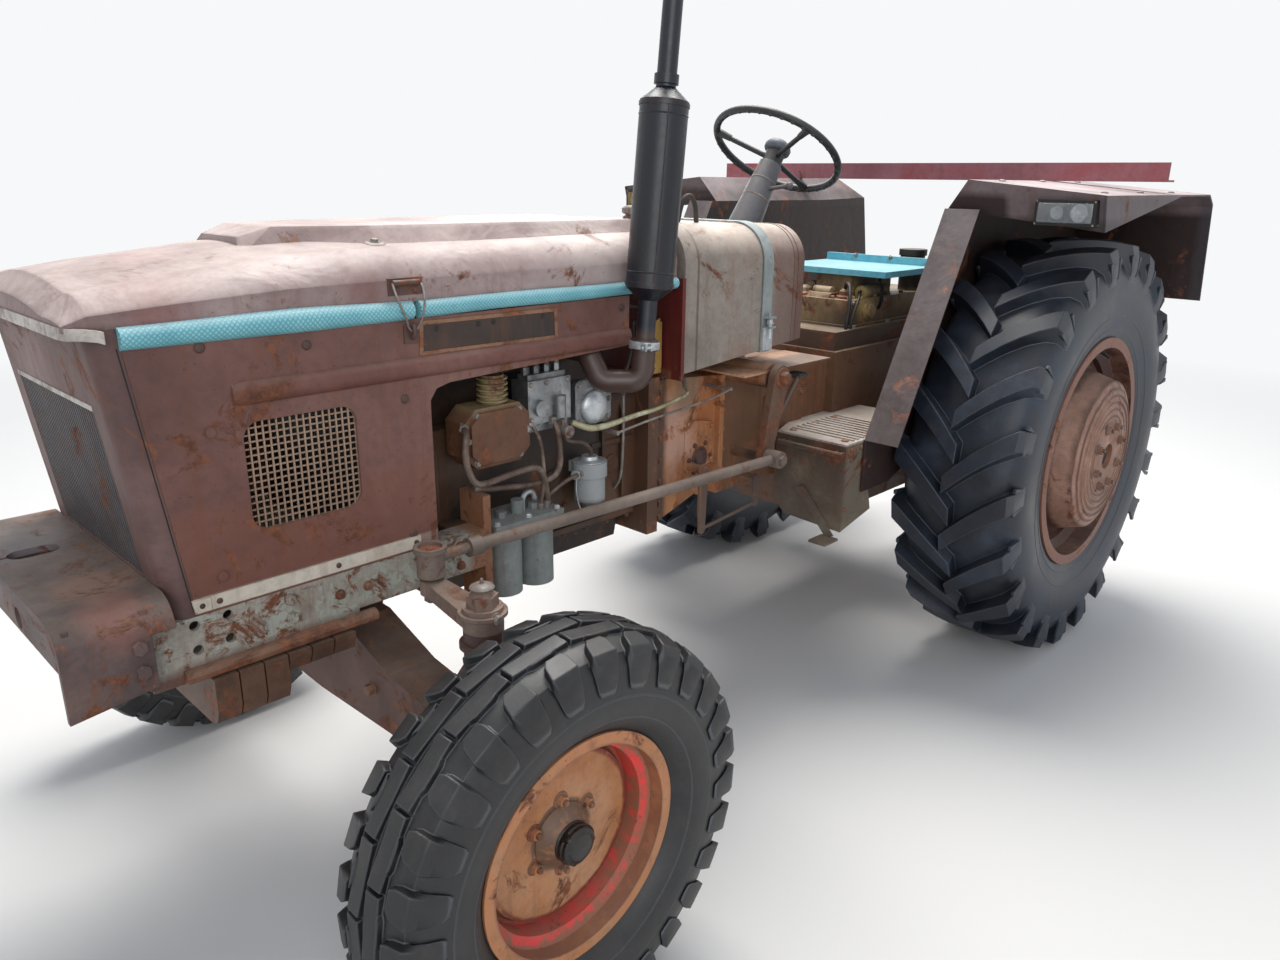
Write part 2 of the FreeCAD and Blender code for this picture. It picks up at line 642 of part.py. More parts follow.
def drag_link():
    """Tube with a cupped ball housing over the arm's eye and a stud that faces the drop arm."""
    arm_top = KING_HOUSING_TOP + RUN_GAP + ARM_THICK
    ball = (BALL_X, BALL_Y)
    cup_top = LINK_Z + 26.0
    end_y = DROP_Y0 + DROP_THICK + LINK_DRIFT
    rear = V(LINK_REAR_X, end_y + 24.0, DROP_PIN_Z)
    front = V(BALL_X, BALL_Y, LINK_Z)
    along = (rear - front).normalize()

    def on_tube(distance):
        return tuple(front + along * distance)
    pieces = [
        rod(ball + (arm_top + 8.0,), ball + (cup_top - 8.0,), CUP_R - 5.0),
        rod(ball + (cup_top - 10.0,), ball + (cup_top,), CUP_R),
        rod(ball + (arm_top - ARM_THICK - 12.0,), ball + (arm_top + 12.0,), STUD_R),
        hex_nut(ball + (arm_top - ARM_THICK - 16.0,), ball + (arm_top - ARM_THICK - RUN_GAP,), 17.0),
        rod(on_tube(0.0), on_tube(110.0), LINK_R - 3.0),
        rod(on_tube(100.0), tuple(rear), LINK_R),
        rod(on_tube(88.0), on_tube(118.0), LINK_R + 6.0),
        rod((LINK_REAR_X, end_y, DROP_PIN_Z), (LINK_REAR_X, end_y + 48.0, DROP_PIN_Z), 24.0),
        hex_nut((LINK_REAR_X, end_y + 47.0, DROP_PIN_Z), (LINK_REAR_X, end_y + 58.0, DROP_PIN_Z), 15.0),
    ]
    return fuse(pieces).cut(rod(ball + (cup_top - 7.0,), ball + (cup_top + 1.0,), CUP_R - 9.0))


def drop_arm():
    """Pitman arm on the steering box's cross shaft."""
    y0 = DROP_Y0
    y1 = DROP_Y0 + DROP_THICK
    plate = link_plate(DROP_PIVOT_X, DROP_PIVOT_Z, LINK_REAR_X, DROP_PIN_Z, 34.0, 24.0, y0, y1)
    hole = rod((DROP_PIVOT_X, y0 - 1.0, DROP_PIVOT_Z), (DROP_PIVOT_X, y1 + 1.0, DROP_PIVOT_Z),
               CROSS_SHAFT_R + RUN_GAP)
    return plate.cut(hole)


def column_axis():
    tilt = math.radians(WHEEL_TILT)
    return V(-math.sin(tilt), 0, math.cos(tilt))


def steering_wheel():
    up = column_axis()
    centre = V(WHEEL_X, 0, WHEEL_Z)
    hub_low = centre - up * WHEEL_HUB_DROP
    across = V(0, 1, 0)
    forward = up.cross(across)
    pieces = [
        Part.makeTorus(WHEEL_RIM_R, WHEEL_GRIP_R, centre, up),
        Part.makeCylinder(30.0, 44.0, hub_low, up),
        Part.makeCone(30.0, 16.0, 14.0, hub_low + up * 44.0, up),
    ]
    for turn in (90.0, 210.0, 330.0):
        a = math.radians(turn)
        out = across * math.cos(a) + forward * math.sin(a)
        pieces.append(rod(tuple(hub_low + up * 24.0 + out * 20.0), tuple(centre + out * WHEEL_RIM_R), 8.0))
    return fuse(pieces)


def steering_column():
    """Tapered cowl under the wheel's hub, on a tube down to the steering box."""
    up = column_axis()
    top = V(WHEEL_X, 0, WHEEL_Z) - up * (WHEEL_HUB_DROP + RUN_GAP)
    length = (top.z - DROP_PIVOT_Z - 40.0) / up.z
    tube = Part.makeCylinder(COLUMN_R, length, top - up * length, up)
    cowl = Part.makeCone(COWL_LOW_R, COWL_TOP_R, COWL_LEN, top - up * COWL_LEN, up)
    lever_root = top - up * 90.0
    lever = rod(tuple(lever_root), tuple(lever_root + V(0, 110.0, 16.0)), 6.0)
    knob = Part.makeSphere(11.0, lever_root + V(0, 112.0, 16.0))
    gear_case = box(0.0, DROP_PIVOT_X + 200.0, -100.0, 100.0, 0.0, DROP_PIVOT_Z + 30.0 + RUN_GAP)
    return fuse([tube, cowl, lever, knob]).cut(gear_case)


# Front end

def front_frame():
    """Two channel rails with cross plate, axle bolster, pivot ears and pin."""
    y1 = RAIL_Y
    y0 = RAIL_Y - RAIL_FLANGE
    web = RAIL_Y - RAIL_T
    channel = prism_x([
        (y1, RAIL_Z0), (y1, RAIL_Z1), (y0, RAIL_Z1), (y0, RAIL_Z1 - RAIL_T),
        (web, RAIL_Z1 - RAIL_T), (web, RAIL_Z0 + RAIL_T), (y0, RAIL_Z0 + RAIL_T), (y0, RAIL_Z0),
    ], RAIL_X0, RAIL_X1)
    angle = prism_x([
        (y1, RAIL_Z0), (y1 - ANGLE_LEG, RAIL_Z0), (y1 - ANGLE_LEG, RAIL_Z0 - ANGLE_T),
        (y1 - ANGLE_T, RAIL_Z0 - ANGLE_T), (y1 - ANGLE_T, RAIL_Z0 - ANGLE_LEG), (y1, RAIL_Z0 - ANGLE_LEG),
    ], WHEELBASE + 100.0, RAIL_X1)
    post = box(RAIL_X0 - POST_T, RAIL_X0, 200.0, y1 - 3.0, POST_Z0, POST_Z1)
    bolts = [hex_nut((WHEELBASE + dx, y1 - 2.0, z), (WHEELBASE + dx, y1 + 9.0, z), 11.0)
             for dx, z in RAIL_BOLTS]
    side = fuse([channel, angle, post] + bolts)
    for dx, z in RAIL_HOLES:
        side = side.cut(rod((WHEELBASE + dx, web - 2.0, z), (WHEELBASE + dx, y1 + 2.0, z), RAIL_HOLE_R))
    cross = box(RAIL_X1 - 12.0, RAIL_X1, -web, web, RAIL_Z0, RAIL_Z1)
    bolster = box(WHEELBASE - 70.0, WHEELBASE + 70.0, -web, web, RAIL_Z0, RAIL_Z1)
    pieces = [side, mirrored(side), cross, bolster]
    for x0 in (WHEELBASE - BEAM_HALF - 6.0 - EAR_T, WHEELBASE + BEAM_HALF + 6.0):
        pieces.append(prism_x([(-80.0, RAIL_Z0 + 10.0), (80.0, RAIL_Z0 + 10.0), (46.0, PIVOT_Z), (-46.0, PIVOT_Z)],
                              x0, x0 + EAR_T))
        pieces.append(rod((x0, 0, PIVOT_Z), (x0 + EAR_T, 0, PIVOT_Z), 46.0))
    reach = BEAM_HALF + 6.0 + EAR_T + 14.0
    pieces.append(rod((WHEELBASE - reach, 0, PIVOT_Z), (WHEELBASE + reach, 0, PIVOT_Z), PIVOT_R))
    return fuse(pieces)


def ballast_weights():
    """Slabs with rounded lower corners, slung across under the rails on two tie rods."""
    half = SLAB_HALF_W
    top = RAIL_Z0 - ANGLE_LEG - RUN_GAP
    pieces = []
    for n in range(SLAB_COUNT):
        x1 = SLAB_X1 - n * SLAB_STEP
        low = SLAB_DEEP_Z if n < SLAB_DEEP else SLAB_SHALLOW_Z
        left = [(half, top), (half, low + 36.0), (half - 10.0, low + 11.0), (half - 34.0, low)]
        right = [(-y, z) for y, z in reversed(left)]
        pieces.append(prism_x(left + right, x1 - SLAB_T, x1))
    for y in (-SLAB_ROD_Y, SLAB_ROD_Y):
        rear = SLAB_X1 - SLAB_COUNT * SLAB_STEP - 10.0
        pieces.append(rod((rear, y, SLAB_ROD_Z), (SLAB_X1 + 12.0, y, SLAB_ROD_Z), 10.0))
        pieces.append(hex_nut((SLAB_X1 - 1.0, y, SLAB_ROD_Z), (SLAB_X1 + 14.0, y, SLAB_ROD_Z), 19.0))
    return fuse(pieces)


def along_x(edge):
    return abs(edge.tangentAt(edge.FirstParameter).x) > 0.999 and edge.Length > 100.0


def front_bumper():
    """Folded plate over the rails' ends with an inset front, a slotted hole and a hanging flap."""
    half = BUMPER_HALF_W
    top = BUMPER_TOP
    under = top - BUMPER_T
    outer = box(BUMPER_X0, BUMPER_X1, -half, half, BUMPER_LOW - 60.0, top)
    top_edges = [e for e in outer.Edges if along_x(e) and e.CenterOfMass.z > top - 1.0]
    outer = outer.makeFillet(BUMPER_BEND_R, top_edges)
    inner = box(BUMPER_X0 - 1.0, BUMPER_X1 + 1.0, -half + BUMPER_T, half - BUMPER_T, BUMPER_LOW - 70.0, under)
    inner = inner.makeFillet(BUMPER_BEND_R - BUMPER_T,
                             [e for e in inner.Edges if along_x(e) and e.CenterOfMass.z > under - 1.0])
    keep = prism_y([(RAIL_X1 + 2.0, BUMPER_LOW + 16.0), (BUMPER_X1, BUMPER_LOW), (BUMPER_X1 + 2.0, top + 1.0),
                    (BUMPER_X0 - 2.0, top + 1.0), (BUMPER_X0 - 2.0, under - 40.0),
                    (RAIL_X1 + 2.0, under - 40.0)], -half - 1.0, half + 1.0)
    shell = outer.cut(inner).common(keep)
    side = half - BUMPER_T
    plate_x = BUMPER_X1 - BUMPER_INSET
    pieces = [
        shell,
        box(RAIL_X1, RAIL_X1 + 12.0, -side, side, RAIL_Z0 - 10.0, under),
        box(plate_x - 8.0, plate_x, -side, side, under - BUMPER_PLATE_H, under),
    ]
    for z in BUMPER_BOLT_Z:
        for y, out in ((half, 10.0), (-half, -10.0)):
            x = BUMPER_X0 + 60.0
            pieces.append(hex_nut((x, y - out * 0.3, z), (x, y + out, z), 12.0))
    solid = fuse(pieces)
    rear_x, front_x = BUMPER_HOLE_X
    slot = fuse([rod((x, BUMPER_HOLE_Y, under - 3.0), (x, BUMPER_HOLE_Y, top + 3.0), BUMPER_HOLE_R)
                 for x in (rear_x, front_x)]
                + [box(rear_x, front_x, BUMPER_HOLE_Y - BUMPER_HOLE_R, BUMPER_HOLE_Y + BUMPER_HOLE_R,
                       under - 3.0, top + 3.0),
                   box(rear_x, BUMPER_X1 + 3.0, BUMPER_HOLE_Y - 4.0, BUMPER_HOLE_Y + 4.0, under - 3.0, top + 3.0)])
    eye_y = BUMPER_HOLE_Y + 90.0
    tow_eye = rod((plate_x - 12.0, eye_y, under - 70.0), (plate_x + 2.0, eye_y, under - 70.0), 20.0)
    return solid.cut(slot).cut(tow_eye)


def front_axle():
    """Box beam on its pivot, with a round-topped extension and kingpin housing at each end."""
    king = (WHEELBASE, KINGPIN_Y)
    upper = [(0.0, 622.0), (134.0, 618.0), (302.0, 558.0), (450.0, 538.0)]
    lower = [(450.0, 432.0), (300.0, 418.0), (0.0, 408.0)]
    half_beam = prism_x(upper + lower, WHEELBASE - BEAM_HALF, WHEELBASE + BEAM_HALF)
    arch = rod((WHEELBASE, 430.0, 492.0), (WHEELBASE, KINGPIN_Y, 492.0), 43.0)
    arch = arch.common(box(WHEELBASE - 60.0, WHEELBASE + 60.0, 420.0, KINGPIN_Y, KING_HOUSING_BOTTOM, 700.0))
    web = prism_x([(440.0, 530.0), (KINGPIN_Y, 530.0), (KINGPIN_Y, 700.0)], WHEELBASE - 9.0, WHEELBASE + 9.0)
    brace = rod((WHEELBASE, 420.0, 520.0), (WHEELBASE, KINGPIN_Y, 706.0), 13.0)
    housing = rod(king + (KING_HOUSING_BOTTOM,), king + (KING_HOUSING_TOP,), KING_HOUSING_R)
    ring = rod(king + (KING_HOUSING_TOP - 34.0,), king + (KING_HOUSING_TOP - 24.0,), KING_RING_R)
    foot_ring = rod(king + (KING_HOUSING_BOTTOM,), king + (KING_HOUSING_BOTTOM + 12.0,), KING_RING_R)
    clamp = box(WHEELBASE - BEAM_HALF - 8.0, WHEELBASE + BEAM_HALF + 8.0, 424.0, 440.0, 426.0, 546.0)
    half = fuse([half_beam, arch, web, brace, housing, ring, foot_ring, clamp])
    bore = rod(king + (KING_HOUSING_BOTTOM - 5.0,), king + (KING_HOUSING_TOP + 5.0,), KINGPIN_R + RUN_GAP)
    half = half.cut(bore)
    beam = fuse([half, mirrored(half)])
    return beam.cut(rod((WHEELBASE - 200.0, 0, PIVOT_Z), (WHEELBASE + 200.0, 0, PIVOT_Z), PIVOT_R + RUN_GAP))


def nose_x(z):
    """Front face of the nose at height z."""
    return NOSE_FOOT_X + NOSE_LEAN * (z - RAIL_Z1) / (BONNET_LOW - RAIL_Z1)


def nose_shell():
    """Leaning surround with round corners, open at the back and round the grille."""
    def shell_block(inset, z0, z1, back):
        shape = prism_y([
            (nose_x(z0) - back, z0), (nose_x(z0) - inset, z0), (nose_x(z1) - inset, z1), (nose_x(z1) - back, z1),
        ], -PANEL_Y + inset, PANEL_Y - inset)
        fronts = [e for e in shape.Edges if abs(e.CenterOfMass.y) > 100.0 and e.Length > 300.0
                  and e.CenterOfMass.x > nose_x(e.CenterOfMass.z) - inset - 1.0]
        return shape.makeFillet(NOSE_CORNER_R - inset, fronts)
    outer = shell_block(0.0, RAIL_Z1, BONNET_LOW, NOSE_DEPTH)
    inner = shell_block(SHEET, RAIL_Z1 - 20.0, BONNET_LOW + 20.0, NOSE_DEPTH + 30.0)
    opening = box(NOSE_FOOT_X - 60.0, NOSE_FOOT_X + 120.0, -GRILLE_HALF_W, GRILLE_HALF_W, GRILLE_Z0, GRILLE_Z1)
    return outer.cut(inner).cut(opening)


def grille():
    """Ribbed screen that fills the nose's opening."""
    half = GRILLE_HALF_W - RUN_GAP
    z0 = GRILLE_Z0 + RUN_GAP
    z1 = GRILLE_Z1 - RUN_GAP

    def sheet(front, back, a, b):
        return prism_y([(nose_x(z0) - back, z0), (nose_x(z0) - front, z0),
                        (nose_x(z1) - front, z1), (nose_x(z1) - back, z1)], a, b)
    plate = sheet(8.0, 12.0, -half, half)
    pitch = 2.0 * half / GRILLE_RIBS
    ribs = [sheet(1.0, 8.0, -half + n * pitch, -half + n * pitch + 5.0) for n in range(GRILLE_RIBS)]
    return fuse([plate] + ribs)


def radiator():
    """Core between two tanks, on the rails' ends."""
    core = box(RADIATOR_X0 + 12.0, RADIATOR_X1 - 12.0, -228.0, 228.0, RAIL_Z1 + 50.0, RADIATOR_TOP - 60.0)
    foot = box(RADIATOR_X0, RADIATOR_X1, -236.0, 236.0, RAIL_Z1, RAIL_Z1 + 50.0)
    head = box(RADIATOR_X0, RADIATOR_X1, -236.0, 236.0, RADIATOR_TOP - 60.0, RADIATOR_TOP)
    cap_x = RADIATOR_X0 + 40.0
    cap = rod((cap_x, 0.0, RADIATOR_TOP - 2.0), (cap_x, 0.0, RADIATOR_TOP + 26.0), 34.0)
    return fuse([core, foot, head, cap])


def bonnet_section(x, half, low, shoulder, crest):
    edge = 96.0
    fall = 20.0
    inner = half - edge
    rise = crest - fall - shoulder
    mid = math.radians(45.0)
    left = [V(x, half, shoulder), V(x, inner + edge * math.cos(mid), shoulder + rise * math.sin(mid)),
            V(x, inner, crest - fall)]
    right = [V(x, -q.y, q.z) for q in left]
    edges = [
        Part.LineSegment(V(x, half, low), left[0]).toShape(),
        Part.Arc(*left).toShape(),
        Part.Arc(left[2], V(x, 0.0, crest), right[2]).toShape(),
        Part.Arc(*right[::-1]).toShape(),
        Part.LineSegment(right[0], V(x, -half, low)).toShape(),
        Part.LineSegment(V(x, -half, low), V(x, half, low)).toShape(),
    ]
    return Part.Wire(edges)


def bonnet_scoop():
    """Raised middle panel with a slanting front face, which fades into the lid to the rear."""
    # place along X at its foot and at its top, half width at each, height of the top
    stations = [
        (STEP_X, STEP_X - 14.0, 112.0, 78.0, 1420.0),
        (STEP_X - 66.0, STEP_X - 71.0, 126.0, 98.0, 1438.0),
        (STEP_X - 246.0, STEP_X - 246.0, 190.0, 150.0, 1438.0),
        (BONNET_REAR_X + 60.0, BONNET_REAR_X + 60.0, 234.0, 190.0, 1438.0),
    ]
    rings = [[V(foot_x, wide, SCOOP_LOW), V(top_x, narrow, top), V(top_x, -narrow, top),
              V(foot_x, -wide, SCOOP_LOW)]
             for foot_x, top_x, wide, narrow, top in stations]
    return fuse([block(a, b) for a, b in zip(rings, rings[1:])])


def bonnet():
    """Pressed steel lid with a raised middle panel, rounded down to the nose."""
    # station x, shoulder height, crest height
    stations = [
        (BONNET_REAR_X, 1346.0, 1430.0),
        (STEP_X - 120.0, 1346.0, 1420.0),
        (STEP_X, 1344.0, 1410.0),
        (STEP_X + 194.0, 1334.0, 1389.0),
        (LIP_X - 36.0, 1326.0, 1372.0),
        (LIP_X, 1314.0, 1340.0),
    ]
    outer = Part.makeLoft([bonnet_section(x, PANEL_Y, BONNET_LOW, s, c) for x, s, c in stations], True, True)
    inner = Part.makeLoft([bonnet_section(x + dx, PANEL_Y - SHEET, BONNET_LOW - 40.0, s - SHEET, c - SHEET)
                           for (x, s, c), dx in zip(stations, (-10.0, 0, 0, 0, 0, -SHEET))], True, True)
    return fuse([outer, bonnet_scoop()]).cut(inner)


def rounded_slab(x0, x1, z0, z1, radius, y0, y1):
    shape = box(x0, x1, y0, y1, z0, z1)
    return shape.makeFillet(radius, [e for e in shape.Edges if abs(e.tangentAt(e.FirstParameter).y) > 0.999])


def side_panel():
    """Left panel: solid below the bead at the front, open over the engine behind."""
    y0 = PANEL_Y - SHEET
    back = NOSE_DEPTH + RUN_GAP
    outline = [
        (WINDOW_X, RAIL_Z1), (nose_x(RAIL_Z1) - back, RAIL_Z1), (nose_x(PANEL_TOP) - back, PANEL_TOP),
        (PANEL_REAR_X, PANEL_TOP), (PANEL_REAR_X, WINDOW_TOP + 18.0), (WINDOW_X - 47.0, WINDOW_TOP),
        (WINDOW_X - 16.0, WINDOW_TOP - 8.0), (WINDOW_X, WINDOW_TOP - 30.0),
    ]
    sheet = prism_y(outline, y0, PANEL_Y)
    sheet = sheet.cut(rounded_slab(MESH_X0, MESH_X1, MESH_Z0, MESH_Z1, MESH_CORNER, y0 - 1.0, PANEL_Y + 1.0))
    bead_end = NOSE_FOOT_X - 146.0
    bead_low = PANEL_TOP - 112.0
    bead = prism_x([(PANEL_Y, bead_low), (PANEL_Y + 8.0, bead_low + 8.0), (PANEL_Y + 8.0, bead_low + 27.0),
                    (PANEL_Y, bead_low + 35.0)], PANEL_REAR_X, bead_end)
    strip_z = RAIL_Z1 + 7.0
    strip = box(WINDOW_X + 15.0, nose_x(strip_z) - back - 2.0, PANEL_Y, PANEL_Y + 3.0, strip_z, strip_z + 24.0)
    front_x = nose_x(RAIL_Z1) - back - 52.0
    screws = [rod((front_x + shift, PANEL_Y - 1.0, z), (front_x + shift, PANEL_Y + 5.0, z), 9.0)
              for shift, z in ((2.0, RAIL_Z1 + 60.0), (-8.0, PANEL_TOP - 151.0))]
    return fuse([sheet, bead, strip] + screws)


def side_mesh():
    """Wire screen behind the panel's opening: a frame with two layers of bars."""
    y1 = PANEL_Y - SHEET
    rim = 12.0
    frame = rounded_slab(MESH_X0 - rim, MESH_X1 + rim, MESH_Z0 - rim, MESH_Z1 + rim, MESH_CORNER + rim,
                         y1 - 6.0, y1)
    frame = frame.cut(rounded_slab(MESH_X0, MESH_X1, MESH_Z0, MESH_Z1, MESH_CORNER, y1 - 7.0, y1 + 1.0))
    bars = []
    for n in range(1, MESH_COLUMNS):
        x = MESH_X0 + MESH_W * n / MESH_COLUMNS
        bars.append(box(x - 1.5, x + 1.5, y1 - 3.0, y1 - 0.5, MESH_Z0 - 5.0, MESH_Z1 + 5.0))
    for n in range(1, MESH_ROWS):
        z = MESH_Z0 + MESH_H * n / MESH_ROWS
        bars.append(box(MESH_X0 - 5.0, MESH_X1 + 5.0, y1 - 6.0, y1 - 3.5, z - 1.5, z + 1.5))
    return fuse([frame] + bars)


def seam_hoses():
    """Split hose pressed along the seam between bonnet and panel, in two lengths a side."""
    z = PANEL_TOP + HOSE_R
    y = PANEL_Y - 4.0
    pieces = []
    for x0, x1 in ((BONNET_REAR_X, HOSE_JOINT_X - 22.0), (HOSE_JOINT_X, nose_x(PANEL_TOP) - NOSE_DEPTH - 1.0)):
        length = rod((x0, y, z), (x1, y, z), HOSE_R - RUN_GAP)
        pieces += [length, mirrored(length)]
    return Part.Compound(pieces)


# Engine and drive line

def engine_block():
    """Block with sump, timing case, head and cover, manifolds, starter, oil filter and fan."""
    x0 = BLOCK_X0
    x1 = BLOCK_X1
    half = BLOCK_HALF_W
    pieces = [
        box(x0, x1 - 40.0, -half, half, BLOCK_Z0, BLOCK_Z1),
        prism_x([(-140.0, BLOCK_Z0), (140.0, BLOCK_Z0), (120.0, SUMP_Z), (-120.0, SUMP_Z)],
                x0 + 20.0, x1 - 60.0),
        box(x0 + 10.0, x1 - 50.0, -half - 6.0, half + 6.0, BLOCK_Z0 - 8.0, BLOCK_Z0 + 6.0),
        box(x1 - 40.0, x1, -150.0, 150.0, BLOCK_Z0, BLOCK_Z1 + 60.0),
        box(x0 + 60.0, x1 - 50.0, -HEAD_HALF_W, HEAD_HALF_W, BLOCK_Z1, HEAD_TOP - 70.0),
        prism_x([(-80.0, HEAD_TOP - 70.0), (80.0, HEAD_TOP - 70.0), (80.0, HEAD_TOP - 26.0), (58.0, HEAD_TOP),
                 (-58.0, HEAD_TOP), (-80.0, HEAD_TOP - 26.0)], x0 + 80.0, x1 - 70.0),
        box(x0 + 170.0, x0 + 580.0, HEAD_HALF_W, MANIFOLD_Y, MANIFOLD_Z - 33.0, MANIFOLD_Z + 42.0),
        box(x0 + 150.0, x0 + 560.0, -MANIFOLD_Y, -HEAD_HALF_W, MANIFOLD_Z - 20.0, MANIFOLD_Z + 40.0),
        rod((x0 + 6.0, -half - 45.0, 800.0), (x0 + 260.0, -half - 45.0, 800.0), 46.0),
        rod((x0 + 40.0, -half - 40.0, 870.0), (x0 + 200.0, -half - 40.0, 870.0), 24.0),
        box(x0 + 6.0, x0 + 60.0, -half - 40.0, -half, 770.0, 860.0),
        rod((x0 + 420.0, -half - 50.0, 700.0), (x0 + 420.0, -half - 50.0, 840.0), 42.0),
        box(x0 + 380.0, x0 + 460.0, -half - 60.0, -half, 830.0, 880.0),
        rod((x1 - 5.0, 0.0, FAN_Z), (x1 + FAN_REACH, 0.0, FAN_Z), 30.0),
    ]
    for y in (190.0, -190.0):
        out = half if y > 0 else -half
        a, b = sorted((out, math.copysign(RAIL_Y - RAIL_FLANGE, y)))
        pieces.append(box(RAIL_X0, x1 - 40.0, a, b, RAIL_Z0, RAIL_Z1))
    for n in range(4):
        x = x0 + 120.0 + n * 130.0
        pieces.append(hex_nut((x, half - 2.0, BLOCK_Z0 + 60.0), (x, half + 7.0, BLOCK_Z0 + 60.0), 11.0))
        turn = math.tau * n / 4 + 0.3
        across = V(0, math.cos(turn), math.sin(turn))
        blade = box(x1 + FAN_REACH - 12.0, x1 + FAN_REACH - 7.0, 20.0, FAN_R, -34.0, 34.0)
        blade.rotate(V(0, 0, 0), V(1, 0, 0), math.degrees(math.atan2(across.z, across.y)))
        blade.translate(V(0, 0, FAN_Z))
        pieces.append(blade)
    return fuse(pieces)


def fuel_injection_pump():
    """Upright pump on its shelf, with four outlets on top and a domed governor plate behind."""
    side = BLOCK_HALF_W
    x0 = PUMP_X0
    x1 = x0 + 126.0
    y = side + 46.0
    plate_x0 = x0 - 126.0
    plate_x1 = x0 - 11.0
    plate_y = side + 62.0
    dome = (x0 - 70.0, PUMP_Z - 26.0)
    pieces = [
        box(plate_x0 + 20.0, x1, side, side + 62.0, PUMP_Z - 60.0, PUMP_Z - 38.0),
        box(x0, x1, side + 16.0, side + 74.0, PUMP_Z - 40.0, PUMP_Z + 60.0),
        box(x0 + 8.0, x1 - 8.0, side + 28.0, side + 64.0, PUMP_Z + 58.0, PUMP_Z + 72.0),
        box(plate_x1 - 4.0, x0 + 2.0, side + 22.0, side + 58.0, PUMP_Z - 39.0, PUMP_Z + 30.0),
        box(plate_x0 + 12.0, plate_x1 - 8.0, side + 16.0, plate_y + 4.0, PUMP_Z - 55.0, PUMP_Z + 32.0),
        rounded_slab(plate_x0, plate_x1, PUMP_Z - 67.0, PUMP_Z + 43.0, 16.0, plate_y, plate_y + 16.0),
        cone((dome[0], plate_y + 15.0, dome[1]), (dome[0], plate_y + 22.0, dome[1]), 42.0, 38.0),
        cone((dome[0], plate_y + 22.0, dome[1]), (dome[0], plate_y + 29.0, dome[1]), 38.0, 16.0),
        rod((x0 + 38.0, side + 80.0, PUMP_Z - 32.0), (x0 + 38.0, side + 80.0, PUMP_Z + 19.0), 14.0),
        rod((x0 + 92.0, side + 72.0, PUMP_Z - 4.0), (x0 + 92.0, side + 84.0, PUMP_Z - 4.0), 19.0),
    ]
    for n in range(4):
        x = x0 + 20.0 + n * 30.0
        pieces.append(hex_nut((x, y, PUMP_Z + 70.0), (x, y, PUMP_Z + 88.0), 10.0))
    return fuse(pieces)


def compressor():
    """Air compressor: eight-sided crankcase facing sideways, with a finned barrel and head."""
    side = BLOCK_HALF_W
    x = COMPRESSOR_X
    z = COMPRESSOR_Z
    barrel_x = x - 11.0
    barrel_y = side + 52.0
    half = 87.0
    tall = 66.0
    corners = [(x + i * a, z + k * b) for i, k, a, b in (
        (1, -1, half, 38.0), (1, 1, half, 38.0), (1, 1, 58.0, tall), (-1, 1, 58.0, tall),
        (-1, 1, half, 38.0), (-1, -1, half, 38.0), (-1, -1, 58.0, tall), (1, -1, 58.0, tall))]
    pieces = [
        prism_y(corners, side + 14.0, side + 84.0),
        prism_y([(x + 0.86 * (px - x), z + 0.86 * (pz - z)) for px, pz in corners], side + 83.0, side + 92.0),
        box(x - 60.0, x + 60.0, side, side + 20.0, z - 50.0, z + 40.0),
        rod((barrel_x, barrel_y, z + tall - 2.0), (barrel_x, barrel_y, z + 129.0), 27.0),
    ]
    for n in range(5):
        low = z + 71.0 + 12.0 * n
        pieces.append(rod((barrel_x, barrel_y, low), (barrel_x, barrel_y, low + 4.0), 34.0))
    return fuse(pieces)


def fuel_filters():
    """Twin filter under one bolted head, and a small sediment bowl on its own bracket."""
    side = BLOCK_HALF_W
    y = side + 62.0
    z = FILTER_Z
    pieces = [
        box(FILTER_X - 97.0, FILTER_X + 99.0, side, side + 112.0, z, z + 30.0),
        rod((FILTER_X + 1.0, y, z + 28.0), (FILTER_X + 1.0, y, z + 62.0), 15.0),
    ]
    for x in (FILTER_X - 47.0, FILTER_X + 47.0):
        pieces.append(rod((x, y, z - 148.0), (x, y, z), 44.0))
        pieces.append(rod((x, y, z - 12.0), (x, y, z), 46.5))
        pieces.append(hex_nut((x, y, z - 160.0), (x, y, z - 147.0), 14.0))
        pieces.append(hex_nut((x, y, z + 29.0), (x, y, z + 44.0), 13.0))
    bowl_y = side + 50.0
    low = BOWL_Z
    small = fuse([
        box(BOWL_X - 24.0, BOWL_X + 24.0, side, bowl_y, low + 66.0, low + 94.0),
        rod((BOWL_X, bowl_y, low + 62.0), (BOWL_X, bowl_y, low + 99.0), 43.0),
        rod((BOWL_X, bowl_y, low), (BOWL_X, bowl_y, low + 63.0), 38.0),
        rod((BOWL_X, bowl_y, low - 30.0), (BOWL_X, bowl_y, low + 1.0), 27.0),
        rod((BOWL_X, bowl_y, low - 40.0), (BOWL_X, bowl_y, low - 29.0), 8.0),
    ])
    return Part.Compound([fuse(pieces), small])


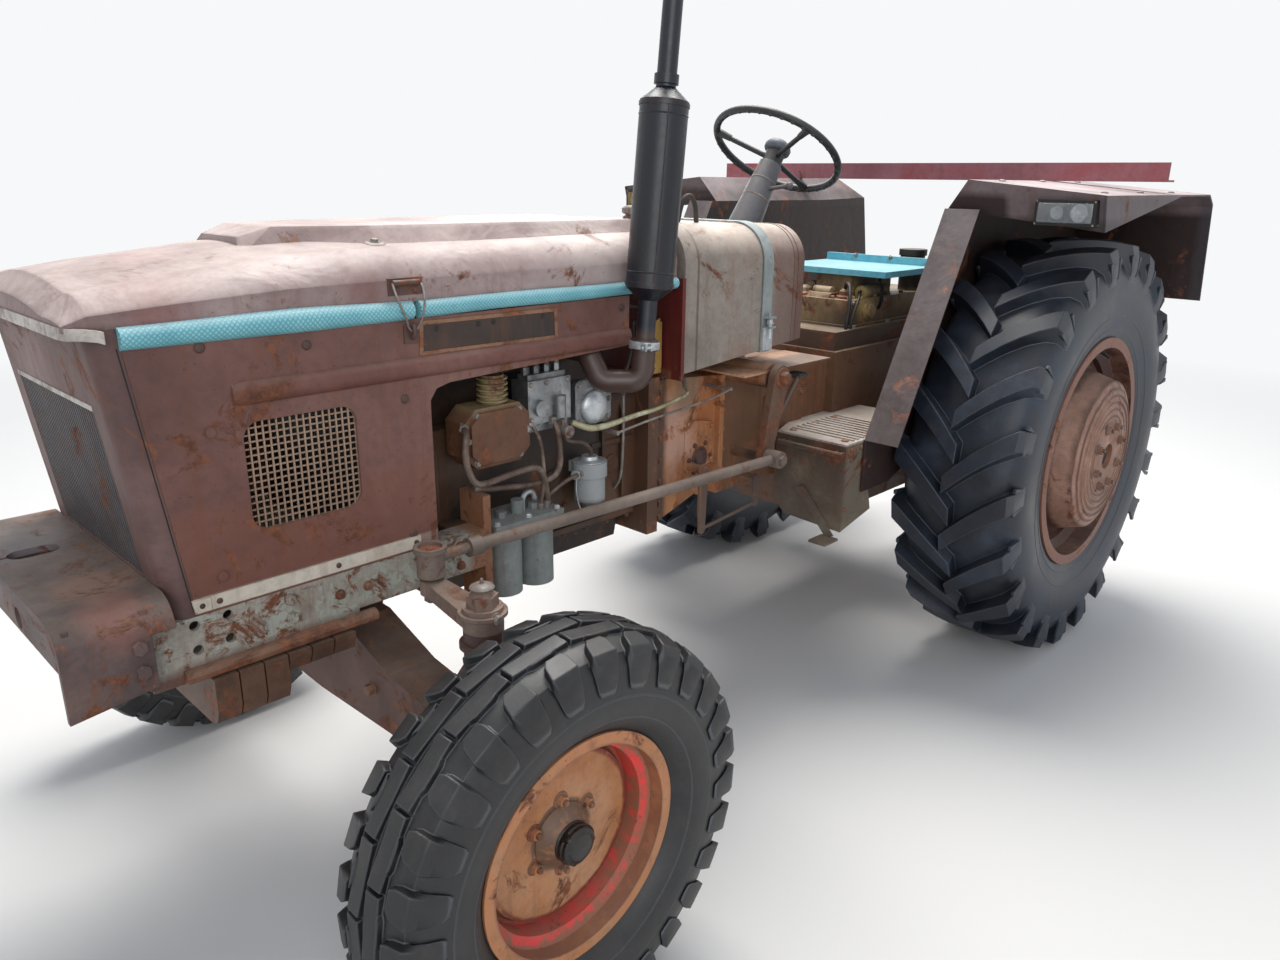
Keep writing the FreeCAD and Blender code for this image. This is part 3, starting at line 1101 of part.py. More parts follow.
def exhaust():
    """Leaning silencer with clamps on its ends, on an elbow from the manifold."""
    foot_x, foot_z = SILENCER_FOOT
    head_x, head_z = SILENCER_HEAD
    foot = V(foot_x, PIPE_Y, foot_z)
    line = V(head_x, PIPE_Y, head_z) - foot
    body_len = line.Length
    up = line.normalize()
    taper = 28.0
    joint = foot - up * 100.0
    pieces = [
        Part.makeCone(STACK_R, SILENCER_R, taper, foot, up),
        Part.makeCylinder(SILENCER_R, body_len - 2.0 * taper, foot + up * taper, up),
        Part.makeCone(SILENCER_R, STACK_R, taper, foot + up * (body_len - taper), up),
        Part.makeCylinder(STACK_R, (STACK_TOP - head_z) / up.z, foot + up * (body_len - 10.0), up),
        Part.makeCylinder(STACK_R, 110.0, joint, up),
        Part.makeCylinder(ELBOW_R + 6.0, 24.0, foot - up * 112.0, up),
        Part.makeCylinder(SILENCER_R + 2.0, 8.0, foot + up * (taper + 4.0), up),
        Part.makeCylinder(SILENCER_R + 2.0, 8.0, foot + up * (body_len - taper - 12.0), up),
        Part.makeCylinder(STACK_R + 5.0, 20.0, foot + up * (body_len + 6.0), up),
        bent_pipe([
            tuple(joint), (joint.x + 8.0, PIPE_Y, ELBOW_Z), (foot_x + 86.0, 294.0, ELBOW_Z),
            (foot_x + 90.0, 252.0, MANIFOLD_Z), (foot_x + 90.0, MANIFOLD_Y, MANIFOLD_Z),
        ], ELBOW_R, 32.0),
    ]
    return fuse(pieces)


def gearbox_housing():
    """Bell housing behind the engine, gearbox, steering box on top, pedal and levers."""
    def ring(x, half, low, high):
        corners = [V(x, -half, low), V(x, half, low), V(x, half, high), V(x, -half, high)]
        return Part.makePolygon(corners + corners[:1])
    pieces = [
        box(BELL_X1, BLOCK_X0, -226.0, 226.0, BELL_LOW, BELL_TOP),
        Part.makeLoft([ring(BELL_X1, 215.0, BELL_LOW + 18.0, BELL_TOP - 10.0),
                       ring(BELL_X0, 165.0, 690.0, 1000.0)],
                      True, True),
        box(GEAR_X0, BELL_X0, -GEAR_HALF_W, GEAR_HALF_W, GEAR_Z0, GEAR_Z1),
        box(BELL_X0 - 14.0, BELL_X0 + 6.0, -182.0, 182.0, GEAR_Z0 - 14.0, GEAR_Z1 + 22.0),
        box(DROP_PIVOT_X - 70.0, DROP_PIVOT_X + 60.0, -110.0, 110.0, GEAR_Z1 - 10.0, DROP_PIVOT_Z + 30.0),
        rod((DROP_PIVOT_X, -DROP_Y0 - DROP_THICK - 10.0, DROP_PIVOT_Z),
            (DROP_PIVOT_X, DROP_Y0 + DROP_THICK + 10.0, DROP_PIVOT_Z), CROSS_SHAFT_R),
        rod((DROP_PIVOT_X, -DROP_Y0 + 14.0, DROP_PIVOT_Z), (DROP_PIVOT_X, DROP_Y0 - 14.0, DROP_PIVOT_Z), 34.0),
        box(SHELF_X0, SHELF_X1, GEAR_HALF_W - 10.0, DROP_Y0 - 10.0, SHELF_Z - 6.0, SHELF_Z),
        box(SHELF_X0, BELL_X0 - 200.0, GEAR_HALF_W - 10.0, GEAR_HALF_W, GEAR_Z1 - 20.0, SHELF_Z - 3.0),
    ]
    for z in (BELL_TOP - 40.0, BELL_TOP - 160.0, BELL_TOP - 280.0, BELL_LOW + 40.0):
        for y in (206.0, -206.0):
            pieces.append(hex_nut((BELL_X1 + 2.0, y, z), (BELL_X1 - 12.0, y, z), 13.0))
    pedal_x = PEDAL_FOOT[0]
    pedal_z = PEDAL_FOOT[1]
    pieces += [
        bent_pipe([(PEDAL_TOP[0], PEDAL_Y, PEDAL_TOP[1]), (pedal_x + 3.0, PEDAL_Y, pedal_z + 90.0),
                   (pedal_x, PEDAL_Y, pedal_z)], 9.0, 34.0),
        box(PEDAL_TOP[0] - 36.0, PEDAL_TOP[0] + 6.0, PEDAL_Y - 38.0, PEDAL_Y + 10.0, PEDAL_TOP[1] - 2.0,
            PEDAL_TOP[1] + 6.0),
        rod((pedal_x, GEAR_HALF_W - 5.0, pedal_z), (pedal_x, PEDAL_Y + 14.0, pedal_z), 14.0),
    ]
    lever_x = BELL_X0 + 150.0
    side = LEVER_Y
    pieces += [
        rod((lever_x, 150.0, 765.0), (lever_x, side + 12.0, 765.0), 13.0),
        link_plate(lever_x, 765.0, lever_x, 590.0, 18.0, 12.0, side, side + 8.0),
        rod((lever_x, side + 4.0, 592.0), (pedal_x, side + 4.0, 613.0), 5.0),
        link_plate(pedal_x, 613.0, pedal_x, 690.0, 11.0, 14.0, side, side + 8.0),
        rod((pedal_x, GEAR_HALF_W - 5.0, 690.0), (pedal_x, side + 10.0, 690.0), 10.0),
    ]
    solid = fuse(pieces)
    arch_x0 = BELL_X0 - 10.0 - ARCH_W / 2.0 + 60.0
    arch = fuse([box(arch_x0, arch_x0 + ARCH_W, 130.0, 240.0, 600.0, ARCH_TOP - ARCH_W / 2.0),
                 rod((arch_x0 + ARCH_W / 2.0, 130.0, ARCH_TOP - ARCH_W / 2.0),
                     (arch_x0 + ARCH_W / 2.0, 240.0, ARCH_TOP - ARCH_W / 2.0), ARCH_W / 2.0)])
    return solid.cut(arch)


def rear_axle_housing():
    """Differential case with a trumpet housing to each rear wheel."""
    case = box(AXLE_CASE_X0, GEAR_X0, -AXLE_CASE_HALF_W, AXLE_CASE_HALF_W, AXLE_CASE_Z0, AXLE_CASE_Z1)
    bore = REAR_SHAFT_R + RUN_GAP
    z = REAR_TYRE_R
    trumpet = fuse([
        cone((0, AXLE_CASE_HALF_W - 5.0, z), (0, 330.0, z), 150.0, TRUMPET_R),
        rod((0, AXLE_CASE_HALF_W - 5.0, z), (0, AXLE_CASE_HALF_W + 14.0, z), 172.0),
        rod((0, 330.0, z), (0, TRUMPET_END_Y, z), TRUMPET_R),
        box(-70.0, 70.0, 415.0, FENDER_IN_Y - FENDER_T, z + 40.0, z + 205.0),
    ]).cut(rod((0, TRUMPET_END_Y - 62.0, z), (0, TRUMPET_END_Y + 5.0, z), bore))
    pin_x, pin_z = LOWER_PIVOT
    y_end = HITCH_Y + 2.0 * HITCH_BAR + LINK_GAP + 12.0
    boss = fuse([
        rod((pin_x, AXLE_CASE_HALF_W - 5.0, pin_z), (pin_x, HITCH_Y + HITCH_BAR, pin_z), 32.0),
        rod((pin_x, HITCH_Y, pin_z), (pin_x, y_end, pin_z), LOWER_PIN_R),
    ])
    guard = box(AXLE_CASE_X0 - 90.0, AXLE_CASE_X0, -70.0, 70.0, PTO_Z + 60.0, PTO_Z + 66.0)
    shaft = rod((AXLE_CASE_X0 - 86.0, 0, PTO_Z), (AXLE_CASE_X0 + 5.0, 0, PTO_Z), PTO_R)
    cover = rod((AXLE_CASE_X0 - 12.0, 0, PTO_Z), (AXLE_CASE_X0 + 5.0, 0, PTO_Z), 58.0)
    pieces = [case, trumpet, mirrored(trumpet), boss, mirrored(boss), guard, shaft, cover]
    for y in (-140.0, 140.0):
        for high in (AXLE_CASE_Z0 + 60.0, AXLE_CASE_Z1 - 60.0):
            pieces.append(hex_nut((AXLE_CASE_X0 + 3.0, y, high), (AXLE_CASE_X0 - 10.0, y, high), 14.0))
    return fuse(pieces)


def lift_housing():
    """Hydraulic lift cover with the cross shaft's bosses, a top-link bracket and the seat's stand."""
    arm_x, arm_z = ARM_PIVOT
    top = LIFT_TOP
    bracket = prism_y([(-196.0, arm_z + 10.0), (-272.0, arm_z + 24.0), (-272.0, arm_z + 62.0), (-196.0, arm_z + 84.0)],
                      -34.0, 34.0)
    bracket = bracket.cut(box(-280.0, -214.0, -18.0, 18.0, arm_z, arm_z + 90.0))
    bracket = bracket.cut(rod((-254.0, -40.0, arm_z + 44.0), (-254.0, 40.0, arm_z + 44.0), TOP_PIN_R))
    pieces = [
        box(-210.0, 540.0, -170.0, 170.0, AXLE_CASE_Z1, top - 90.0),
        box(-200.0, 420.0, -140.0, 140.0, top - 90.0, top),
        rod((arm_x, -220.0, arm_z), (arm_x, 220.0, arm_z), LIFT_SHAFT_R + 18.0),
        box(40.0, 310.0, -70.0, 70.0, top, SEAT_Z0),
        rod((-70.0, 90.0, top), (-70.0, 90.0, LIFT_POT_TOP), 44.0),
        rod((-70.0, 90.0, LIFT_POT_TOP - 22.0), (-70.0, 90.0, LIFT_POT_TOP), 50.0),
        bracket,
    ]
    bore = rod((arm_x, -230.0, arm_z), (arm_x, 230.0, arm_z), LIFT_SHAFT_R + RUN_GAP)
    return fuse(pieces).cut(bore)


# Tank, fenders, platform

def tank_low(x):
    return TANK_REAR_LOW + (TANK_FRONT_LOW - TANK_REAR_LOW) * (x - TANK_X0) / TANK_LEN


def tank_top(x):
    return TANK_TOP - TANK_FALL * (TANK_X1 - x) / TANK_LEN


def fuel_tank():
    """Round-shouldered tank with two welded seams and a tunnel for the column."""
    outline = [(TANK_X0, TANK_REAR_LOW), (TANK_X1, TANK_FRONT_LOW), (TANK_X1, TANK_TOP),
               (TANK_X0, TANK_TOP - TANK_FALL)]
    shape = prism_y(outline, -TANK_HALF_W, TANK_HALF_W)
    top_edges = [e for e in shape.Edges if e.CenterOfMass.z > TANK_TOP - 20.0 and abs(e.CenterOfMass.y) > 100.0]
    shape = shape.makeFillet(TANK_EDGE_R, top_edges)
    seams = [tank_outline(1.5, TANK_X0 + x, 4.0) for x in TANK_SEAMS]
    up = column_axis()
    top = V(WHEEL_X, 0, WHEEL_Z)
    return fuse([shape] + seams).cut(Part.makeCylinder(TUNNEL_R, 900.0, top - up * 900.0, up))


def tank_outline(gap, x, width):
    """Slice of the tank at x, grown by a gap."""
    half = TANK_HALF_W + gap
    top = tank_top(x) + gap
    shape = box(x - width / 2.0, x + width / 2.0, -half, half, tank_low(x) - gap, top)
    return shape.makeFillet(TANK_EDGE_R + gap, [e for e in shape.Edges
                                                if e.CenterOfMass.z > top - 1.0 and abs(e.CenterOfMass.y) > 100.0
                                                and abs(e.Length - width) < 1.0])


def tank_strap():
    """Steel band round the tank, with its tightening bolt low on the left side."""
    gap = 2.0
    band = tank_outline(gap + STRAP_T, STRAP_X, STRAP_W).cut(tank_outline(gap, STRAP_X, STRAP_W + 2.0))
    side = TANK_HALF_W + gap + STRAP_T
    ear_z = tank_low(STRAP_X) + 60.0
    ears = [box(STRAP_X - 15.0, STRAP_X + 15.0, side - 1.0, side + 22.0, z, z + 5.0)
            for z in (ear_z, ear_z + 26.0)]
    bolt = rod((STRAP_X, side + 11.0, ear_z - 8.0), (STRAP_X, side + 11.0, ear_z + 40.0), 5.0)
    return fuse([band] + ears + [bolt])


def tank_cradle():
    """Bulkhead ahead of the tank and the bearers below it."""
    x0 = TANK_X1 + RUN_GAP
    half = TANK_HALF_W + 4.0
    wall = box(x0, TANK_X1 + 12.0, -half, half, BELL_TOP, BULKHEAD_TOP)
    inner = PANEL_Y - 24.0
    edge = box(x0, TANK_X1 + 30.0, -inner, inner, BULKHEAD_TOP - 5.0, BULKHEAD_TOP)
    under = tank_low(TANK_X1) - RUN_GAP
    bearers = []
    for y in (-190.0, 160.0):
        bearers.append(prism_y([
            (BEARER_X0, BELL_TOP), (TANK_X1 + 6.0, BELL_TOP), (TANK_X1 + 6.0, under),
            (TANK_X1, under), (BEARER_X0, tank_low(BEARER_X0) - RUN_GAP),
        ], y, y + 30.0))
    return fuse([wall, edge] + bearers)


def fender_side_outline(t):
    r = REAR_TYRE_R
    return [
        (FENDER_FRONT_X - 35.0 - t, FENDER_SHOULDER_Z - 53.0 - 4.0 * t), (FENDER_FRONT_X - t, FENDER_RIDGE_Z - t),
        (-0.7 * r, FENDER_RIDGE_Z - t), (-0.869 * r + t, FENDER_RIDGE_Z - 71.0 - t),
        (-0.964 * r + t, 1.661 * r - 4.0 * t),
    ]


def fender():
    """Folded sheet fender: inner plate, front flange, sloping top, visor and rear apron."""
    t = FENDER_T
    inner_y = FENDER_IN_Y
    outer_y = FENDER_OUT_Y
    visor_z = FENDER_SHOULDER_Z - 53.0
    apron_low = 1.6 * REAR_TYRE_R
    back = -0.869 * REAR_TYRE_R
    end_outline = [(inner_y - t, apron_low), (inner_y - t, FENDER_SHOULDER_Z), (FENDER_RIDGE_Y, FENDER_RIDGE_Z),
                   (outer_y, FENDER_OUT_Z), (outer_y, apron_low)]
    hollow_end = [(inner_y, apron_low - 100.0), (inner_y, FENDER_SHOULDER_Z - 2.0),
                  (FENDER_RIDGE_Y + 2.0, FENDER_RIDGE_Z - t),
                  (outer_y + 60.0, FENDER_OUT_Z - t - 6.0), (outer_y + 60.0, apron_low - 100.0)]
    far_back = -REAR_TYRE_R - 15.0
    far_front = FENDER_FRONT_X + 60.0
    skin = prism_y(fender_side_outline(0.0), inner_y - t, outer_y)
    skin = skin.common(prism_x(end_outline, far_back, far_front))
    hollow = prism_y(fender_side_outline(t), inner_y - t, outer_y + 60.0)
    hollow = hollow.common(prism_x(hollow_end, far_back, far_front))
    visor_cut = prism_x([(inner_y - 20.0, FENDER_SHOULDER_Z), (outer_y + 10.0, visor_z),
                         (outer_y + 10.0, visor_z - 104.0),
                         (inner_y - 20.0, visor_z - 104.0)], FENDER_FRONT_X - 60.0, far_front)
    top = skin.cut(hollow).cut(visor_cut)
    foot_front = flange_x(FOOT_Z)
    plate = prism_y([
        (foot_front, FOOT_Z), (foot_front, FOOT_Z - 160.0), (foot_front - 150.0, FOOT_Z - 160.0),
        (foot_front - 390.0, FOOT_Z - 80.0), (foot_front - 590.0, FOOT_Z), (-150.0, FOOT_Z), (-300.0, FOOT_Z + 100.0),
        (back, 1.737 * REAR_TYRE_R), (back, FENDER_SHOULDER_Z + 9.0), (-300.0, FENDER_SHOULDER_Z),
        (FENDER_FRONT_X, FENDER_SHOULDER_Z),
    ], inner_y - t, inner_y)
    flange = prism_y([
        (FENDER_FRONT_X, FENDER_SHOULDER_Z), (foot_front, FOOT_Z), (foot_front - t, FOOT_Z),
        (FENDER_FRONT_X - t, FENDER_SHOULDER_Z),
    ], inner_y - t, inner_y + FLANGE_W)
    lip = prism_y([(FENDER_FRONT_X - 6.0, FENDER_OUT_Z - 2.0), (FENDER_FRONT_X - 32.0, visor_z + 2.0),
                   (-250.0, FENDER_OUT_Z - 2.0)], outer_y - t, outer_y)
    lamp_hole = box(FENDER_FRONT_X - 80.0, FENDER_FRONT_X + 40.0, LAMP_Y0 - RUN_GAP, LAMP_Y1 + RUN_GAP,
                    LAMP_Z0 - RUN_GAP, LAMP_Z1 + RUN_GAP)
    return fuse([top, plate, flange, lip]).cut(lamp_hole)


def fender_lamp():
    """Oblong lamp with a raised rim round its glass."""
    front = FENDER_FRONT_X + 4.0
    body = rounded_slab_x(LAMP_Y0, LAMP_Y1, LAMP_Z0, LAMP_Z1, 10.0, front - 8.0 - LAMP_DEPTH, front)
    rim = 8.0
    glass = rounded_slab_x(LAMP_Y0 + rim, LAMP_Y1 - rim, LAMP_Z0 + rim, LAMP_Z1 - rim, 5.0,
                           front - 4.0, front + 2.0)
    return body.cut(glass)


def rounded_slab_x(y0, y1, z0, z1, radius, x0, x1):
    shape = box(x0, x1, y0, y1, z0, z1)
    return shape.makeFillet(radius, [e for e in shape.Edges if abs(e.tangentAt(e.FirstParameter).x) > 0.999])


def fender_tie_bar():
    """Angle iron across both fenders, bolted through its flat leg."""
    z0 = FENDER_RIDGE_Z
    pieces = [box(TIE_X, TIE_X + TIE_T, TIE_Y0, TIE_Y1, z0, z0 + TIE_LEG),
              box(TIE_X - TIE_LEG, TIE_X, TIE_Y0, TIE_Y1, z0, z0 + TIE_T)]
    for y in (FENDER_RIDGE_Y, -FENDER_RIDGE_Y):
        x = TIE_X - TIE_LEG / 2.0
        pieces.append(hex_nut((x, y, z0 + TIE_T - 1.0), (x, y, z0 + TIE_T + 10.0), 13.0))
    return fuse(pieces)


def footplate():
    """Ribbed plate from the gearbox out to the fender."""
    low = FOOT_Z - FOOT_T
    plate = fuse([
        prism_z([(GEAR_X0, GEAR_HALF_W), (FOOT_X1 - 128.0, GEAR_HALF_W), (FOOT_X1, FOOT_IN_Y),
                 (FOOT_X1, FOOT_OUT_Y), (GEAR_X0, FOOT_OUT_Y)], low, FOOT_Z),
        box(FOOT_X0, GEAR_X0, AXLE_CASE_HALF_W, FOOT_OUT_Y, low, FOOT_Z),
    ])
    room = box(LINK_REAR_X - DROP_ROOM, LINK_REAR_X + 2.0 * DROP_ROOM, DROP_Y0 - 14.0, DROP_Y0 + 70.0,
               low - 30.0, FOOT_Z + 30.0)
    count = int((FOOT_X1 - GEAR_X0 - 40.0) / FOOT_RIB_STEP)
    ribs = [box(x, x + 10.0, FOOT_IN_Y + 14.0, FOOT_OUT_Y - 12.0, FOOT_Z, FOOT_Z + 4.0)
            for x in (GEAR_X0 + 20.0 + n * FOOT_RIB_STEP for n in range(count))]
    return fuse([plate] + ribs).cut(room)


def step_guard():
    """Folded plate under the footplate's front and outer edge, with a grab rod and a step strap."""
    top = FOOT_Z - FOOT_T
    x1 = FOOT_X1
    y1 = FOOT_OUT_Y
    front = prism_x([(FOOT_IN_Y - 6.0, top), (y1, top), (y1, GUARD_Z), (FOOT_IN_Y + 40.0, GUARD_Z + 10.0),
                     (FOOT_IN_Y - 6.0, GUARD_Z + 50.0)], x1 - GUARD_T, x1)
    side = prism_y([(x1, top), (x1 - 98.0, top), (x1 - 164.0, GUARD_Z + 37.0), (x1, GUARD_Z)], y1 - GUARD_T, y1)
    strap = prism_x([(283.0, 636.0), (310.0, 646.0), (430.0, 514.0), (404.0, 504.0)], x1, x1 + 5.0)
    pad = box(x1, x1 + 70.0, 388.0, 446.0, 502.0, 509.0)
    grab_z = top - 22.0
    grab_x = x1 + 24.0
    grab = [rod((x1 - 2.0, 232.0, grab_z), (grab_x, 232.0, grab_z), 7.0),
            rod((x1 - 2.0, 441.0, grab_z), (grab_x, 441.0, grab_z), 7.0),
            rod((grab_x - 5.0, 222.0, grab_z), (grab_x - 5.0, y1, grab_z), 8.0)]
    return fuse([front, side, strap, pad] + grab)


def seat_board():
    """Flat board with a raised rail along its rear edge."""
    board = box(SEAT_X0, SEAT_X1, -SEAT_HALF_W, SEAT_HALF_W, SEAT_Z0, SEAT_Z0 + SEAT_T)
    rail = box(SEAT_X0, SEAT_X0 + 18.0, -SEAT_HALF_W, SEAT_HALF_W, SEAT_Z0 + SEAT_T, SEAT_Z0 + SEAT_T + 26.0)
    return fuse([board, rail])


# Hitch

def hitch_point(pivot, length, drop):
    a = math.radians(drop)
    return (pivot[0] - length * math.cos(a), pivot[1] - length * math.sin(a))


def lift_arms():
    """Cross shaft through the lift cover's boss with an arm at each end."""
    x, z = ARM_PIVOT
    end_x, end_z = hitch_point(ARM_PIVOT, ARM_LEN, ARM_DROP)
    y1 = HITCH_Y - LINK_GAP
    y0 = y1 - HITCH_BAR
    arm = link_plate(x, z, end_x, end_z, 40.0, 24.0, y0, y1)
    pin = rod((end_x, y0, end_z), (end_x, HITCH_Y + HITCH_BAR + 4.0, end_z), HITCH_PIN_R)
    half = fuse([arm, pin])
    shaft = rod((x, -y1, z), (x, y1, z), LIFT_SHAFT_R)
    return fuse([half, mirrored(half), shaft])


def lift_rods():
    """Adjustable rod from each lift arm down to its lower link."""
    top_x, top_z = hitch_point(ARM_PIVOT, ARM_LEN, ARM_DROP)
    low_x, low_z = hitch_point(LOWER_PIVOT, ROD_AT, LOWER_DROP)
    y0 = HITCH_Y
    y1 = HITCH_Y + HITCH_BAR
    middle = (y0 + y1) / 2.0
    top = V(top_x, middle, top_z)
    along = V(low_x, middle, low_z) - top
    rod_half = fuse([
        rod((top_x, y0, top_z), (top_x, y1, top_z), 26.0),
        rod((low_x, y0, low_z), (low_x, y1, low_z), 26.0),
        rod(tuple(top), tuple(top + along), 9.5),
        rod(tuple(top + along * 0.3), tuple(top + along * 0.6), 16.0),
    ])
    hole = rod((top_x, y0 - 1.0, top_z), (top_x, y1 + 1.0, top_z), HITCH_PIN_R + RUN_GAP)
    return pair(rod_half.cut(hole))


def lower_links():
    """Two draft links, joined behind the tyres by nothing but the tool that they carry."""
    x, z = LOWER_PIVOT
    end_x, end_z = hitch_point(LOWER_PIVOT, LOWER_LEN, LOWER_DROP)
    y0 = HITCH_Y + HITCH_BAR + LINK_GAP
    y1 = y0 + HITCH_BAR
    bar = link_plate(x, z, end_x, end_z, 30.0, 30.0, y0, y1)
    ball = rod((end_x, y0 - 12.0, end_z), (end_x, y1 + 12.0, end_z), 24.0)
    link = fuse([bar, ball])
    link = link.cut(rod((x, y0 - 1.0, z), (x, y1 + 1.0, z), LOWER_PIN_R + RUN_GAP))
    link = link.cut(rod((end_x, y0 - 13.0, end_z), (end_x, y1 + 13.0, end_z), LINK_BALL_R))
    return pair(link)


def drawbar():
    """Fixed swinging-type bar below the axle case with its hitch pin hole."""
    x0 = AXLE_CASE_X0
    top = DRAWBAR_Z + 26.0
    bar = box(DRAWBAR_X0, x0 + 180.0, -38.0, 38.0, DRAWBAR_Z, top)
    hanger = box(x0, x0 + 40.0, -90.0, 90.0, top, AXLE_CASE_Z0)
    front = box(x0 + 140.0, x0 + 180.0, -90.0, 90.0, top, AXLE_CASE_Z0)
    hole = rod((DRAWBAR_X0 + 45.0, 0, DRAWBAR_Z - 2.0), (DRAWBAR_X0 + 45.0, 0, top + 4.0), DRAWBAR_PIN_R)
    return fuse([bar, hanger, front]).cut(hole)


def build():
    left_right = {
        "rear_tyre": rear_tyre(),
        "rear_rim": rear_rim(),
        "front_tyre": front_tyre(),
        "front_rim": front_rim(),
        "knuckle": knuckle(),
        "drag_link": drag_link(),
        "drop_arm": drop_arm(),
    }
    nodes = {
        "front_frame": front_frame(),
        "front_bumper": front_bumper(),
        "ballast_weights": ballast_weights(),
        "front_axle": front_axle(),
        "nose_shell": nose_shell(),
        "grille": grille(),
        "radiator": radiator(),
        "bonnet": bonnet(),
        "side_panels": pair(side_panel()),
        "side_meshes": pair(side_mesh()),
        "seam_hoses": seam_hoses(),
        "engine_block": engine_block(),
        "fuel_injection_pump": fuel_injection_pump(),
        "compressor": compressor(),
        "fuel_filters": fuel_filters(),
        "exhaust": exhaust(),
        "gearbox_housing": gearbox_housing(),
        "rear_axle_housing": rear_axle_housing(),
        "lift_housing": lift_housing(),
        "fuel_tank": fuel_tank(),
        "tank_strap": tank_strap(),
        "tank_cradle": tank_cradle(),
        "steering_column": steering_column(),
        "footplates": pair(footplate()),
        "step_guards": pair(step_guard()),
        "fenders": pair(fender()),
        "fender_lamps": pair(fender_lamp()),
        "fender_tie_bar": fender_tie_bar(),
        "seat_board": seat_board(),
        "drawbar": drawbar(),
        "steering_wheel": steering_wheel(),
        "lift_arms": lift_arms(),
        "lift_rods": lift_rods(),
        "lower_links": lower_links(),
    }
    for name, shape in left_right.items():
        nodes[name + "_left"] = shape
        nodes[name + "_right"] = mirrored(shape)
    return nodes


def export(nodes):
    os.makedirs("parts", exist_ok=True)
    boxes = [shape.BoundBox for shape in nodes.values()]
    middle = (min(b.XMin for b in boxes) + max(b.XMax for b in boxes)) / 2.0
    for name, shape in nodes.items():
        placed = shape.copy()
        placed.translate(V(-middle, 0, 0))
        placed.exportStep("parts/" + name + ".step")
        print(name, len(shape.Solids), shape.isValid(), round(shape.Volume / 1e6, 2))
    print("rear axle at x =", round(-middle, 6))


export(build())
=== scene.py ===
import json
import random
from math import copysign, cos, radians, sin, sqrt, tau

import bmesh
import bpy
from mathutils import Matrix, Vector


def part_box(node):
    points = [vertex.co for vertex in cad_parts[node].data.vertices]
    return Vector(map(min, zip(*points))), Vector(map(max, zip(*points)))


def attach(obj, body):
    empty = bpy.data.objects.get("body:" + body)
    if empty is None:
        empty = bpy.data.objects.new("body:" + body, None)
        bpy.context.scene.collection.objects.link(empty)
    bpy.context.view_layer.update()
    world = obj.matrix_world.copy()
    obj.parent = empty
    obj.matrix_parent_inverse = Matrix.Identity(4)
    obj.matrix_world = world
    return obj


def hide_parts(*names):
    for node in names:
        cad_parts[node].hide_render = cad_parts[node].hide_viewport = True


# Farm tractor. Points are in millimetres from the middle of the rear axle, on the floor:
# +X forward, +Y to the driver's left, +Z up. at() turns one into a point of the frame.
# Colours are six hex digits, as on a screen.

CAMERA_PLACE = (3198.2, 1855.7, 1530.9)
CAMERA_TURN = (223.9589, -17.6866, 0.7207)  # yaw, pitch and roll in degrees
FOCAL_PIXELS = 944.2276
PHOTO_WIDTH = 1280
SENSOR = 36
BACKDROP = (0.93, 0.94, 0.95, 1)
FLOOR_HALF = 40
FADE_START, FADE_END = 3.2, 7.5  # metres from the frame's origin, floor to backdrop
HOSE_Y, HOSE_Z = 284, 1288
PANEL_Y = 288
SHAFT_Z = 560
RUSTS = "3e241a 683e2a 965a38"
RUST_DARK, RUST_MID = "3e241a", "683e2a"
DUST = "b0a08e"
EARTH = "4e3226 704c38 926c54"
ALLOY = "969a9c bec2c4 d6d8d8"
OUT, UP, DOWN, AHEAD, BACK = (0, 1, 0), (0, 0, 1), (0, 0, -1), (1, 0, 0), (-1, 0, 0)

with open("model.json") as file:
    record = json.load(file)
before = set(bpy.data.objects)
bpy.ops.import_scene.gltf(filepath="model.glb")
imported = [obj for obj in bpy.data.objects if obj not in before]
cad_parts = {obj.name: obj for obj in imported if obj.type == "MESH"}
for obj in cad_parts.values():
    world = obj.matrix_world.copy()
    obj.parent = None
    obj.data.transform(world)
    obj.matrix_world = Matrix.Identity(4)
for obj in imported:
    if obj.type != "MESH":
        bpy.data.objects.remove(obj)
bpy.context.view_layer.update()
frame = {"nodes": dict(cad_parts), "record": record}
low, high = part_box("rear_tyre_left")
AXLE_X = (low.x + high.x) / 2
TYRE_R = 0.5 * (high.z - low.z) * 1000
low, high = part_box("front_tyre_left")
WHEELBASE = ((low.x + high.x) / 2 - AXLE_X) * 1000
FRONT_R = 0.5 * (high.z - low.z) * 1000

rnd = random.Random(7)


def at(x, y, z):
    return Vector((x * 0.001 + AXLE_X, y * 0.001, z * 0.001))


def tint(code):
    """A screen colour as linear light."""
    parts = [int(code[n:n + 2], 16) / 255 for n in (0, 2, 4)]
    return (*(c / 12.92 if c <= 0.04045 else ((c + 0.055) / 1.055) ** 2.4 for c in parts), 1)


def tints(codes):
    return [tint(code) for code in codes.split()]


def fill(tree, socket, value):
    """Links an output to a socket, or sets the socket's number or colour."""
    if isinstance(value, bpy.types.NodeSocket):
        tree.links.new(value, socket)
    else:
        socket.default_value = value


def add_node(tree, kind, inputs=(), **settings):
    node = tree.nodes.new("ShaderNode" + kind)
    for key, value in settings.items():
        setattr(node, key, value)
    for key, value in dict(inputs).items():
        fill(tree, node.inputs[key], value)
    return node


# Camera, light and floor

scene = bpy.context.scene
scene.view_settings.view_transform = "Standard"


